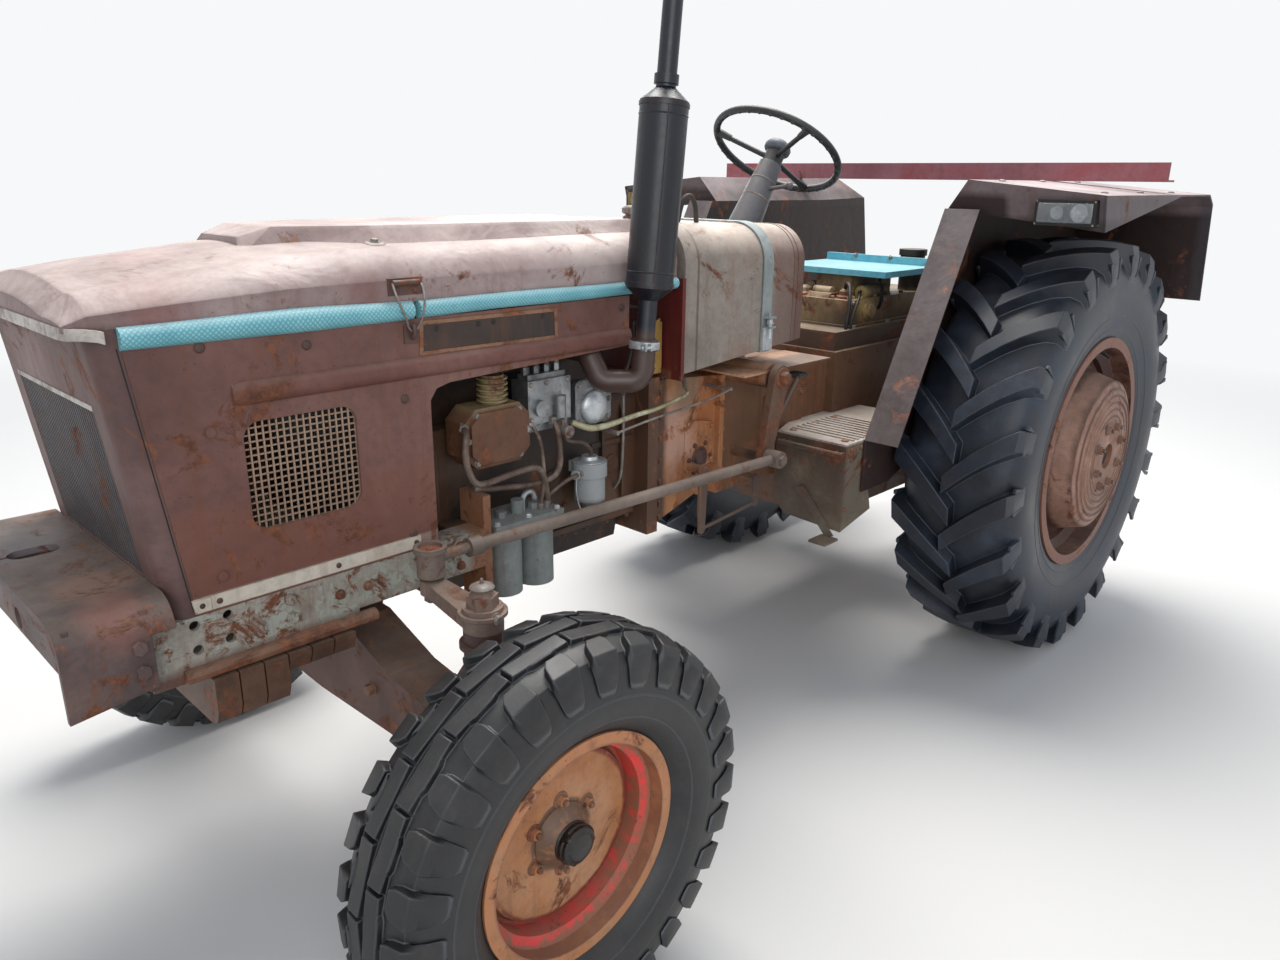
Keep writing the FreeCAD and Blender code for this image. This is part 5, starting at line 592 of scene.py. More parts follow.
class Shape:
    """Collects solids in one mesh, in the axle's millimetres, hands it over as a piece and starts afresh."""

    def __init__(self):
        self.bm = bmesh.new()

    def loft(self, rings, round_trip=False):
        """Rings of equally many points, joined one to the next, and the last to the first on a round trip."""
        n = len(rings[0])
        faces = []
        for k in range(len(rings) - (not round_trip)):
            after = (k + 1) % len(rings)
            for i in range(n):
                j = (i + 1) % n
                faces.append((k * n + i, k * n + j, after * n + j, after * n + i))
        if not round_trip:
            faces += [range(n - 1, -1, -1), range((len(rings) - 1) * n, len(rings) * n)]
        verts = [self.bm.verts.new(p) for ring in rings for p in ring]
        for face in faces:
            try:
                self.bm.faces.new([verts[i] for i in face])
            except ValueError:
                pass

    def box(self, x0, x1, y0, y1, z0, z1, turn=None):
        rings = [[Vector((x, y, z)) for x, y in ((x0, y0), (x1, y0), (x1, y1), (x0, y1))] for z in (z0, z1)]
        if turn is not None:
            middle = Vector(((x0 + x1) / 2, (y0 + y1) / 2, (z0 + z1) / 2))
            rings = [[middle + turn @ (p - middle) for p in ring] for ring in rings]
        self.loft(rings)

    def slab(self, outline, axis, a, b):
        """An outline of two coordinates, pushed along the axis "x", "y" or "z" from a to b."""
        def lift(p, c):
            return {"x": (c, p[0], p[1]), "y": (p[0], c, p[1]), "z": (p[0], p[1], c)}[axis]
        self.loft([[lift(p, a) for p in outline], [lift(p, b) for p in outline]])

    def ring_points(self, centre, along, radius, sides, spin=0.0):
        along = Vector(along).normalized()
        side = along.orthogonal().normalized()
        other = along.cross(side)
        turns = [spin + tau * i / sides for i in range(sides)]
        return [Vector(centre) + (side * cos(turn) + other * sin(turn)) * radius for turn in turns]

    def rod(self, a, b, r0, r1=None, sides=20, spin=0.0):
        along = Vector(b) - Vector(a)
        r1 = r0 if r1 is None else r1
        self.loft([self.ring_points(a, along, r0, sides, spin), self.ring_points(b, along, r1, sides, spin)])

    def turned(self, start, along, outline, sides=40):
        """A lathe shape: outline of (distance along, radius) from the start point."""
        along = Vector(along).normalized()
        start = Vector(start)
        self.loft([self.ring_points(start + along * d, along, max(r, 0.05), sides) for d, r in outline])

    def spun(self, outline, x, z, sides):
        """A closed outline of (radius, y) turned round the line along Y through (x, z)."""
        turns = [tau * i / sides for i in range(sides)]
        self.loft([[(x + r * cos(a), y, z + r * sin(a)) for r, y in outline] for a in turns], True)

    def tube(self, points, radius, sides=12, steps=6):
        """A round bar along a smooth line through the points; radius is a number or one per point."""
        pts = [Vector(p) for p in points]
        radii = list(radius) if hasattr(radius, "__len__") else [radius] * len(pts)
        line, widths = [], []
        for i in range(len(pts) - 1):
            p0, p1, p2, p3 = pts[max(i - 1, 0)], pts[i], pts[i + 1], pts[min(i + 2, len(pts) - 1)]
            for k in range(steps):
                t = k / steps
                line.append(0.5 * ((2 * p1) + (p2 - p0) * t + (2 * p0 - 5 * p1 + 4 * p2 - p3) * t * t
                                   + (3 * p1 - p0 - 3 * p2 + p3) * t * t * t))
                widths.append(radii[i] * (1 - t) + radii[i + 1] * t)
        line.append(pts[-1])
        widths.append(radii[-1])
        side = (line[1] - line[0]).normalized().orthogonal().normalized()
        rings = []
        for i, p in enumerate(line):
            ahead = (line[min(i + 1, len(line) - 1)] - line[max(i - 1, 0)]).normalized()
            side = (side - ahead * side.dot(ahead)).normalized()
            other = ahead.cross(side)
            turns = [tau * k / sides for k in range(sides)]
            rings.append([p + (side * cos(turn) + other * sin(turn)) * widths[i] for turn in turns])
        self.loft(rings)

    def bolt(self, foot, out, across, tall, washer=True, spin=None):
        """A hexagon head on its washer, standing on foot and pointing out."""
        foot, out = Vector(foot), Vector(out).normalized()
        if washer:
            self.rod(foot - out, foot + out * 2, across * 0.72, sides=16)
        turn = rnd.uniform(0.0, 1.0) if spin is None else spin
        r = across / sqrt(3)
        self.loft([self.ring_points(foot + out * d, out, s * r, 6, turn)
                   for d, s in ((1, 1), (tall * 0.82, 1), (tall, 0.86))])

    def bolts(self, out, level, places, across, tall):
        """Bolts on a plane across an axis: level is where it is, and each pair gives the other two."""
        k = [abs(c) for c in out].index(1)
        for pair in places:
            self.bolt((*pair[:k], level, *pair[k:]), out, across, tall)

    def strip(self, points, tall, thick):
        """A flat band standing on edge along a line of points."""
        points = [Vector(p) for p in points]
        lift = Vector(UP) * tall * 0.5
        rings = []
        for n, p in enumerate(points):
            along = points[min(n + 1, len(points) - 1)] - points[max(n - 1, 0)]
            across = along.cross(Vector(UP)).normalized() * thick * 0.5
            rings.append([p - across - lift, p + across - lift, p + across + lift, p - across + lift])
        self.loft(rings)

    def mirror(self):
        """Adds the same again on the other side of the tractor."""
        faces = list(self.bm.faces)
        twins = {v: self.bm.verts.new((v.co.x, -v.co.y, v.co.z)) for v in list(self.bm.verts)}
        for face in faces:
            self.bm.faces.new([twins[v] for v in reversed(face.verts)])

    def piece(self, name, look, body="chassis", bevel=0, sharp=30):
        bmesh.ops.remove_doubles(self.bm, verts=self.bm.verts, dist=0.01)
        bmesh.ops.recalc_face_normals(self.bm, faces=self.bm.faces)
        for v in self.bm.verts:
            v.co = at(*v.co)
        mesh = bpy.data.meshes.new(name)
        self.bm.to_mesh(mesh)
        self.bm.free()
        self.bm = bmesh.new()
        mesh.materials.append(LOOKS[look])
        obj = bpy.data.objects.new(name, mesh)
        scene.collection.objects.link(obj)
        if bevel:
            cut = obj.modifiers.new("edges", "BEVEL")
            cut.width = bevel * 0.001
            cut.segments = 2
            cut.limit_method = "ANGLE"
            cut.angle_limit = radians(32)
            cut.harden_normals = False
        smooth_faces(mesh, sharp)
        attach(obj, body)
        return obj

    def hand_over(self, name, look, side, body="chassis", bevel=0, sharp=30):
        """Hands over for the left side (1) or, turned over, for the right (-1)."""
        word = "_left" if side > 0 else "_right"
        if side < 0:
            for v in self.bm.verts:
                v.co.y = -v.co.y
            bmesh.ops.reverse_faces(self.bm, faces=self.bm.faces)
        return self.piece(name + word, look, body if body == "chassis" else body + word, bevel, sharp)


part = Shape()


# Tyres

REAR_Y = 672
REAR_CARCASS = ((0, 646), (60, 645), (110, 640), (148, 628), (170, 606), (183, 572), (188, 530), (186, 488),
                (178, 448), (170, 412), (168, 396))
REAR_CROWN = ((0, 685), (60, 684), (110, 681), (150, 676), (178, 669))
LUGS = 22
LUG_REACH = 168
FRONT_Y = 762
FRONT_CARCASS = ((0, 391), (30, 390), (60, 385), (80, 375), (93, 355), (100, 325), (102, 295), (99, 268),
                 (88, 246), (74, 232), (69.5, 228))
FRONT_CROWN = ((0, 403), (22, 402.6), (44, 400.5), (60, 397.5), (92, 388))
RIBS = 20
SHOULDER_BLOCKS = 28


def carcass(table, beads, y_mid, x, z, sides):
    half = [(r, y) for y, r in table] + beads
    part.spun([(r, y_mid + y) for r, y in half] + [(r, y_mid - y) for r, y in half[::-1][:-1]], x, z, sides)


def fine_ring(x, z, y_mid, table, r, tall):
    """A thin moulded line round both sidewalls at radius r."""
    y = along_line(sorted((radius, y) for y, radius in table), r)
    for hand in (1, -1):
        low = y_mid + hand * (y - 1)
        part.spun([(r - 2, low), (r, y_mid + hand * (y + tall)), (r + 2, low)], x, z, 120)


def rear_lug(start, hand):
    """One bar of the tread, from the crown's middle out over the shoulder, with its side fins."""
    def place(arc, r, y):
        a = start + arc / TYRE_R
        return r * cos(a), REAR_Y + hand * y, TYRE_R + r * sin(a)
    rows = []
    for y in (-15, 20, 60, 100, 136, 162, 180):
        t = (y + 15) / 195
        arc = LUG_REACH * (1.28 * t - 0.28 * t * t)
        top = along_line(REAR_CROWN, abs(y))
        rows.append((y, arc, spread(28, 33, t), top, along_line(REAR_CARCASS, abs(y)) - 4))
    rows += [(188.5, LUG_REACH + 3, 31, 636, 566), (189.5, LUG_REACH + 6, 25, 588, 556)]
    part.loft([[place(arc - wide - 9, base, min(y, 184)), place(arc - wide, top, y),
                place(arc + wide, top, y), place(arc + wide + 9, base, min(y, 184))]
               for y, arc, wide, top, base in rows])
    for foot in (-26, 38):
        corners = ((foot, 640), (foot, 574), (foot + copysign(15, foot), 636))
        part.loft([[place(LUG_REACH + s, r, y) for s, r in corners] for y in (180, 190.5)])


def rear_tyre():
    carcass(REAR_CARCASS, [(381.6, 161), (355.6, 161)], REAR_Y, 0, TYRE_R, 144)
    for hand, phase in ((1, 0), (-1, 0.5)):
        for n in range(LUGS):
            rear_lug(tau * (n + phase) / LUGS, hand)
    for r in (452, 408):
        fine_ring(0, TYRE_R, REAR_Y, REAR_CARCASS, r, 2.2)


def front_block(a0, a1, rows):
    """A tread block between two angles; rows are (y, radius above, radius below, shift, shrink)."""
    loops = []
    for y, top, base, shift, shrink in rows:
        ends = ((a0 + shrink - 0.012, base), (a0 + shrink, top),
                (a1 - shrink, top), (a1 - shrink + 0.012, base))
        loops.append([(WHEELBASE + r * cos(a + shift), FRONT_Y + y, FRONT_R + r * sin(a + shift))
                      for a, r in ends])
    part.loft(loops)


def front_tyre():
    def top(y):
        return along_line(FRONT_CROWN, abs(y))
    carcass(FRONT_CARCASS, [(221.6, 64.4), (202.6, 64.4)], FRONT_Y, WHEELBASE, FRONT_R, 128)
    for inner, outer, phase, notch in ((6, 38, 0, (38, 43)), (-38, -6, 0.5, (-43, -38))):
        for n in range(RIBS):
            a0 = tau * (n + phase) / RIBS
            a1 = a0 + tau / RIBS - 0.022
            front_block(a0, a1, [(inner, top(inner), 386, 0, 0), ((inner + outer) / 2, top(22), 386, 0, 0),
                                 (outer, top(outer), 384, 0, 0)])
            front_block(a0 + 0.07, a1 - 0.07, [(notch[0], top(40) - 0.5, 382, 0, 0),
                                               (notch[1], top(42) - 1, 382, 0, 0.03)])
    for hand, phase in ((1, 0), (-1, 0.5)):
        for n in range(SHOULDER_BLOCKS):
            a0 = tau * (n + phase) / SHOULDER_BLOCKS
            rows = [(52, 398.5, 383, 0.02, 0.03), (64, 397, 380, 0.012, 0.01), (91, 388.5, 366, 0, 0),
                    (99, 372, 345, 0, 0.006), (103, 344, 322, 0, 0.016), (103.6, 322, 312, 0, 0.03)]
            front_block(a0, a0 + tau / SHOULDER_BLOCKS * 0.62, [(hand * y, *rest) for y, *rest in rows])
    for r in (300, 256):
        fine_ring(WHEELBASE, FRONT_R, FRONT_Y, FRONT_CARCASS, r, 1.6)


for side, word in ((1, "left"), (-1, "right")):
    rear_tyre()
    tyre = part.hand_over("tread_rear", "rear_tyre", side, "rear_wheel", 3)
    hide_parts("rear_tyre_" + word)
    front_tyre()
    tyre = part.hand_over("tread_front", "front_tyre", side, "front_wheel", 1.6)
    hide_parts("front_tyre_" + word)


# Bonnet seam: hose, latch, screws and trim

for side in (1, -1):
    for x0, x1, r0, r1, r2 in ((1452, 2189, 14, 16, 17), (2203, 2722, 18, 22, 18.5)):
        count = int((x1 - x0) / 45)
        points = []
        widths = []
        for n in range(count + 1):
            share = n / count
            x = spread(x0, x1, share)
            points.append((x, HOSE_Y + sin(x * 0.021), HOSE_Z + 1.4 + 0.9 * sin(x * 0.013 + 1)))
            widths.append(spread(spread(r0, r1, min(1, 2.5 * share)), r2, max(0, 1.6 * share - 0.6)))
        part.tube(points, widths, sides=28, steps=3)
    hose = part.hand_over("braided_hose", "hose", side, sharp=60)
    if side > 0:
        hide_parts("seam_hoses")
    # A dark box behind the hose, under the lid's edge: painted shade.
    part.box(1456, 2712, 262, 268, 1273, 1303)
    part.hand_over("seam_shadow", "gap_and_shade", side)
    y = PANEL_Y
    part.box(2178, 2252, y - 2, y + 2.6, 1318, 1350)
    part.rod((2186, y + 5.5, 1341), (2244, y + 5.5, 1341), 5.5, sides=14)
    part.bolt((2196, y + 2, 1327), OUT, 9, 5)
    part.bolt((2236, y + 2, 1327), OUT, 9, 5)
    part.hand_over("latch_bracket", "latch", side, bevel=0.8)
    part.tube([(2186, y + 5, 1341), (2184, y + 14, 1330), (2186, y + 20, 1304), (2191, y + 19, 1278),
        (2197, y + 12, 1258), (2208, y + 10, 1250), (2219, y + 12, 1258), (2228, y + 19, 1278),
        (2240, y + 20, 1304), (2246, y + 14, 1330), (2244, y + 5, 1341)], 2.3, sides=10, steps=5)
    part.hand_over("latch_bail", "wire", side)
    part.slab([(2192, 1226), (2224, 1226), (2224, 1260), (2216, 1267), (2200, 1267), (2192, 1260)], "y",
        y - 1, y + 3.5)
    part.tube([(2208, y + 2, 1236), (2208, y + 11, 1240), (2208, y + 15, 1251), (2208, y + 12, 1262)], 4.5,
        sides=10)
    part.hand_over("latch_hook", "latch", side, bevel=0.6)

for x, y in ((2203, 170), (1580, 170)):
    z = 1406 if x > 2000 else 1410
    for hand in (1, -1):
        out = (0, hand * 0.2, 1)
        part.turned((x, hand * y, z - 4), out, ((-3, 22), (4, 22), (6, 19), (6.5, 12)), 28)
        part.bolt((x, hand * (y + 1), z + 2), out, 13, 7)
part.piece("lid_screws", "steel", bevel=0.5)

edge = [(2797.5, y, 1303) for y in (-268, -200, -120, -40, 40, 120, 200, 268)]
part.strip([(2770, -291.5, 1304), (2792, -287, 1303.5)] + edge + [(2792, 287, 1302), (2770, 292, 1300),
    (2752, 297, 1297), (2744, 304, 1294)], 19, 3)
part.piece("lip_trim", "trim", bevel=0.8)

x = 2706 + 60 * (1168 - 805) / 499
part.strip([(x + 0.5, -208, 1171), (x + 1.5, 0, 1171), (x + 0.5, 208, 1171)], 9, 3)
part.piece("grille_trim", "trim", bevel=0.6)

# Side panels: bare place of a badge, screws, seam, strip and rib, and the rail's lip

for side in (1, -1):
    y = PANEL_Y
    x0, x1, z0, z1 = (1838, 2192, 1196, 1266)
    outer = [(x0, z0), (x1, z0 + 4), (x1 - 3, z1), (x0 + 2, z1 - 3)]
    inner = [(x0 + 9, z0 + 8), (x1 - 9, z0 + 11), (x1 - 12, z1 - 8), (x0 + 11, z1 - 11)]
    for n in range(4):
        after = (n + 1) % 4
        part.slab([outer[n], outer[after], inner[after], inner[n]], "y", y - 1, y + 1.8)
    part.hand_over("badge_rim", "patch_rim", side)
    part.slab(inner, "y", y - 1, y + 0.8)
    part.hand_over("badge_field", "patch", side)
    # Black discs for the badge's holes: painted shade.
    for x in (2050, 2012, 1880, 2150):
        part.turned((x, y + 0.4, 1248), OUT, ((0, 6), (1, 6), (1.2, 4.5)), 16)
    part.hand_over("badge_holes", "black", side)

for x, z in ((2603, 1262), (2230, 1120), (2230, 842), (2420, 1246), (1640, 1246), (1640, 1170)):
    part.turned((x, 287, z), OUT, ((0, 9), (2, 9), (4.5, 7), (5.6, 3.5)), 20)
part.mirror()
part.piece("panel_screws", "dark_screw")

for side in (1, -1):
    part.slab([(2668, 815), (2670, 815), (2727, 1274), (2725, 1274)], "y", 286, 288.6)
    part.hand_over("panel_seam", "gap_and_shade", side)
    part.slab([(2216, 811), (2668, 811), (2672, 837), (2216, 837)], "y", 289, 293.4)
    part.slab([(2640, 812), (2668, 812), (2672, 836), (2640, 836)], "y", 293, 295)
    part.hand_over("panel_strip", "pale_strip", side, bevel=0.8)
    profile = [(287.4, 1157), (292, 1158), (299, 1165), (302, 1174), (301, 1186), (297, 1193), (292, 1197),
        (287.4, 1198)]
    ends = ((1620, 1), (2538, 1), (2551, 0.9), (2558, 0.6), (2561, 0.2))
    part.loft([[(x, spread(PANEL_Y, y, share), spread(1177, z, 0.35 + 0.65 * share)) for y, z in profile]
               for x, share in ends])
    part.hand_over("panel_rib", "rib", side, sharp=40)
    for x in (2656, 2626, 2400, 2228):
        part.turned((x, 293, 824), OUT, ((0, 5.5), (2.4, 5), (3.6, 2.5)), 16)
    part.hand_over("strip_screws", "dark_screw", side)
    profile = [(286, 690), (301, 690), (306, 694), (307, 703), (303, 710), (294, 713), (286, 713)]
    part.slab(profile, "x", 2330, 2700)
    part.rod((2699, 296, 701), (2701.2, 296, 701), 5.5, sides=16)
    part.hand_over("rail_lip", "rust", side, bevel=1.2)

# Engine sides: pipes, hoses, rods, ribs and the fan belt

for n in range(4):
    x = 1790 + 30 * n
    end = x + (n - 1.5) * 60
    part.tube([(x, 224, 1122), (x, 224, 1160), (x + 4, 218, 1196), (spread(x, end, 0.5), 180, 1216),
        (end, 128, 1214), (end, 104, 1204)], 3.3, sides=8)
    part.rod((x, 224, 1120), (x, 224, 1138), 8, sides=6)
    part.rod((end, 116, 1209), (end, 100, 1202), 8, sides=6)
part.piece("injection_lines", "steel")

part.tube([(1826, 252, 1004), (1824, 264, 985), (1818, 266, 940), (1817, 264, 895), (1836, 258, 868),
    (1900, 254, 864), (1990, 246, 874), (2034, 236, 878)], 7)
part.tube([(2070, 250, 1030), (2086, 280, 1016), (2092, 284, 985), (2087, 282, 948), (2070, 280, 914),
    (2041, 278, 903), (1974, 276, 908), (1900, 270, 908), (1872, 266, 888), (1858, 262, 850),
    (1850, 258, 806)], 7.5)
part.tube([(1884, 246, 1004), (1872, 262, 960), (1864, 264, 880), (1868, 262, 840), (1872, 258, 806)], 4.5,
    sides=10)
part.tube([(1850, 236, 806), (1826, 244, 826), (1780, 246, 846), (1728, 240, 850)], 5, sides=10)
part.tube([(1690, 228, 872), (1692, 236, 900), (1730, 250, 930), (1790, 256, 952), (1800, 256, 1002)], 5,
    sides=10)
part.piece("fuel_pipes", "pipe")

part.rod((1795, 250, 973), (1795, 276, 973), 15, sides=24)
part.rod((1795, 275, 973), (1795, 279, 973), 10, 8)
part.bolt((1795, 278, 973), OUT, 12, 7)
for a, b, r in (((1826, 252, 994), (1826, 250, 1010), 11), ((1884, 246, 996), (1884, 244, 1012), 9),
    ((1734, 240, 850), (1718, 238, 850), 10), ((1858, 258, 798), (1851, 258, 816), 9.5),
    ((1690, 228, 870), (1690, 230, 884), 11), ((1872, 258, 798), (1872, 259, 814), 8),
    ((2064, 244, 1032), (2078, 262, 1026), 11), ((2028, 236, 877), (2040, 234, 879), 10)):
    part.rod(a, b, r, sides=6)
part.box(1784, 1806, 240, 254, 966, 1004)
part.piece("pipe_fittings", "steel", bevel=0.6)

part.bolts(OUT, 255, ((1656, 985), (1747, 985), (1656, 1071), (1747, 1071), (1702, 1072), (1652, 1028)), 10,
    7)
part.bolts(OUT, 261, ((1932, 946), (2046, 946), (1932, 1050), (2046, 1050), (1911, 998), (2068, 998)), 12, 8)
part.bolts(OUT, 251, ((1782, 1092), (1842, 1092), (1888, 1092), (1888, 1012)), 9, 6)
part.piece("housing_screws", "steel", bevel=0.5)

part.turned((1700, 255, 1014), OUT, ((0, 41), (6, 40), (10, 36), (15, 28), (18, 18), (19.5, 8), (20, 0.5)),
    48)
part.piece("governor_dome", "silver", sharp=50)

part.tube([(1776, 262, 990), (1735, 276, 972), (1693, 277, 968), (1650, 272, 968), (1560, 272, 976),
    (1500, 274, 980), (1420, 272, 992), (1374, 264, 1000), (1352, 232, 1012)],
    (7, 8, 7.5, 7, 6, 5.5, 5, 4.5, 4.5))
part.piece("brassy_hose", "brass")

part.tube([(1634, 268, 940), (1512, 276, 957), (1299, 276, 973), (1200, 268, 985)], 3.2, sides=8)
part.rod((1634, 180, 940), (1634, 272, 940), 6, sides=12)
part.rod((1200, 150, 985), (1200, 272, 985), 5, sides=10)
part.tube([(1352, 236, 1010), (1348, 230, 1020), (1346, 214, 1036)], 6, sides=8)
part.piece("control_rods", "steel")

part.tube([(1908, 236, 798), (1908, 238, 828), (1896, 240, 842), (1880, 240, 838), (1874, 240, 822)], 6.5)
part.bolts(UP, 799, ((1840, 196), (1840, 278), (2012, 196), (2012, 278), (1926, 280)), 12, 8)
part.piece("filter_fittings", "silver", bevel=0.5)

part.tube([(1732, 228, 838), (1733, 228, 800), (1722, 228, 760), (1702, 228, 734), (1689, 228, 730),
    (1676, 228, 734), (1656, 228, 760), (1645, 228, 800), (1646, 228, 838)], 2.2, sides=8)
part.turned((1689, 228, 868), UP, ((0, 40), (6, 38), (10, 22), (18, 20)), 32)
part.rod((1724, 228, 846), (1744, 236, 848), 12, sides=16)
part.piece("bowl_clamp", "silver", bevel=0.5)

for x in (1530, 1600, 2098):
    part.slab([(177, 720), (190, 740), (190, 960), (177, 990)], "x", x, x + 9)
part.slab([(177, 878), (184, 882), (184, 894), (177, 898)], "x", 1490, 1640)
for x in (1568, 1768):
    part.turned((x, 176, 830), OUT, ((0, 24), (6, 24), (8, 21), (6, 15), (6, 4)), 28)
part.slab([(183, 684), (192, 684), (192, 700), (183, 700)], "x", 1496, 2040)
for n in range(7):
    part.bolt((1520 + 74 * n, 188, 684), DOWN, 11, 8)
for n in range(5):
    part.bolt((1580 + 112 * n, 100, 1199), UP, 18, 14)
part.mirror()
part.piece("block_ribs", "engine_block", bevel=1.5)

part.tube([(1556, 178, 760), (1554, 200, 800), (1552, 206, 900), (1552, 206, 1010)], 4, sides=10)
part.tube([(1552, 206, 1008), (1552, 214, 1026), (1552, 206, 1042), (1552, 198, 1026), (1552, 206, 1010)], 2,
    sides=8)
part.piece("dipstick", "wire")

part.tube([(2216, 60, 1230), (2190, 60, 1236), (2150, 50, 1224), (2104, 40, 1196)], 22, sides=20)
part.tube([(2218, -140, 880), (2190, -140, 884), (2160, -120, 920), (2144, -110, 950)], 24, sides=20)
part.piece("coolant_hoses", "rubber")

part.turned((2150, 0, 800), AHEAD, ((-4, 74), (4, 76), (8, 68), (14, 68), (18, 76), (24, 74)))
part.turned((2150, 0, 1040), AHEAD, ((2, 52), (6, 54), (9, 47), (14, 47), (17, 54), (22, 52)), 32)
for y, lean in ((50, 3.6), (-60, -3.6)):
    part.box(2159, 2168, y, y + 10, 800, 1040, Matrix.Rotation(radians(lean), 3, "X"))
part.piece("fan_belt", "rubber")

# Exhaust clamps and seam

pipe_foot = Vector((1628, 360, 1268))
pipe_up = (Vector((1582, 360, 1720)) - pipe_foot).normalized()
side_out = Vector((0.6, 0.8, 0))
part.turned(pipe_foot - pipe_up * 110, pipe_up, ((0, 33.5), (1, 35.3), (17, 35.3), (18, 33.5)))
lug = pipe_foot - pipe_up * 101 + side_out * 40.5
part.rod(lug + Vector((11, -8, 0)), lug + Vector((-11, 8, 0)), 4, sides=12)
part.box(lug.x - 9, lug.x - 5, lug.y - 10, lug.y + 8, lug.z - 8, lug.z + 8)
part.box(lug.x + 5, lug.x + 9, lug.y - 12, lug.y + 4, lug.z - 8, lug.z + 8)
part.piece("pipe_clamps", "silver", bevel=0.6)

part.tube([pipe_foot + side_out * 53.6 + pipe_up * d for d in (34, 150, 300, 418)], 1.6, sides=8)
for d in (60, 395):
    part.turned(pipe_foot + pipe_up * d, pipe_up, ((0, 53.8), (2, 55.4), (4, 53.8)), 48)
part.piece("silencer_seam", "exhaust")

# Tank: cap, strap clamps and pipes; cables and their plate

part.turned((1290, 0, 1424), UP, ((0, 46), (10, 45), (12, 38), (16, 38), (17, 44), (33, 44), (37, 40),
    (39, 14), (44, 12), (45, 8)))
for x, y in around(16, 44, 0, 1290, 0):
    part.box(x - 2.5, x + 2.5, y - 2.5, y + 2.5, 1443, 1456)
part.piece("fuel_cap", "steel", bevel=0.8)

for y, out in ((303, 1), (-303, -1)):
    part.box(1077, 1117, *sorted((y, y + out * 7)), 1086, 1148)
    part.rod((1097, y + out * 11, 1118), (1097, y + out * 11, 1168), 6, sides=12)
    part.bolt((1097, y + out * 11, 1160), UP, 15, 12)
part.piece("strap_clamps", "silver", bevel=0.8)

part.tube([(1340, 150, 1075), (1342, 156, 1058), (1366, 180, 1052), (1410, 214, 1054), (1436, 232, 1046)], 5,
    sides=10)
part.rod((1340, 150, 1056), (1340, 150, 1080), 11, sides=6)
part.piece("tank_pipe", "pipe")

part.tube([(1352, 196, 1424), (1346, 200, 1462), (1334, 202, 1486), (1311, 202, 1490), (1290, 200, 1466),
    (1282, 198, 1425)], 6.5)
part.piece("vent_hose", "rubber")

part.slab([(1456, 1060), (1500, 1060), (1506, 1180), (1456, 1200)], "y", 236, 240)
part.box(1449, 1458, 206, 240, 1060, 1190)
part.bolt((1478, 239, 1084), OUT, 14, 9)
part.piece("cable_plate", "cable_plate", bevel=1)

# A black disc for the plate's cable hole: painted shade.
part.turned((1482, 239.6, 1140), OUT, ((0, 13), (1, 13), (1.2, 10)), 24)
part.piece("cable_hole", "black")

part.tube([(1456, 150, 1180), (1490, 180, 1176), (1520, 200, 1120), (1540, 196, 1066), (1600, 190, 1040)], 5,
    sides=10)
part.tube([(1456, 170, 1220), (1500, 196, 1226), (1560, 206, 1236), (1700, 210, 1250), (1900, 214, 1252),
    (2200, 216, 1250)], 4, sides=10)
part.tube([(1456, 120, 1210), (1500, 110, 1222), (1560, 96, 1222), (1600, 90, 1206)], 4, sides=10)
part.piece("engine_cables", "rubber")

# Wheels: nuts, caps and valves

for side in (1, -1):
    for x, z in around(8, 102, 0.5, 0, TYRE_R):
        part.rod((x, 904, z), (x, 914, z), 7.5, 6.5, sides=14)
        part.turned((x, 888, z), OUT, ((0, 21), (4.5, 20), (5.5, 15)), 24)
    part.hand_over("rear_studs", "pipe", side, "rear_wheel", bevel=0.8)
    part.turned((0, 866, TYRE_R), OUT, ((0, 41), (8, 41), (12, 36), (14, 20), (14.5, 4)), 36)
    part.hand_over("rear_hub_plug", "black", side, "rear_wheel")
    part.tube([(0, 812, TYRE_R + 338), (0, 830, TYRE_R + 330), (0, 852, TYRE_R + 318)], (7, 5, 4.5))
    part.hand_over("rear_valve", "black", side, "rear_wheel")
    for x, z in around(6, 72, 1.5, WHEELBASE, FRONT_R):
        part.turned((x, 764, z), OUT, ((0, 17), (3.5, 16.5), (4.5, 13)), 24)
        part.rod((x, 776, z), (x, 785, z), 6.5, 5.5, sides=14)
    part.hand_over("front_studs", "rust", side, "front_wheel", bevel=0.6)
    part.turned((WHEELBASE, 790, FRONT_R), OUT, ((0, 40), (6, 38), (7, 36), (10, 36), (11, 39), (17, 39),
        (19, 36.4), (26, 35.8), (29, 27), (31, 25), (32, 12), (32.5, 3)), 48)
    for n in range(9):
        turn = 0.7 * n * n
        r = 22 + 16 * (n * 0.37 % 1)
        spot = Vector((WHEELBASE + r * cos(turn), 806 + 8 * (n * 0.61 % 1), FRONT_R + r * sin(turn)))
        part.rod(spot - Vector((0, 8, 0)), spot + Vector((0, 7, 0)), 9, 5, sides=10, spin=turn)
    part.hand_over("greasy_cap", "grease", side, "front_wheel", bevel=1.2, sharp=45)
    x = WHEELBASE + 174 * cos(0.9)
    z = FRONT_R + 174 * sin(0.9)
    part.tube([(x, 790, z), (x, 800, z), (x, 812, z)], (7, 5, 4))
    part.turned((x, 742, z), OUT, ((0, 9), (50, 8)), 16)
    part.hand_over("front_valve", "black", side, "front_wheel")

# Steering: ball cups, kingpin caps, wheel grip, wheel cap and column bands

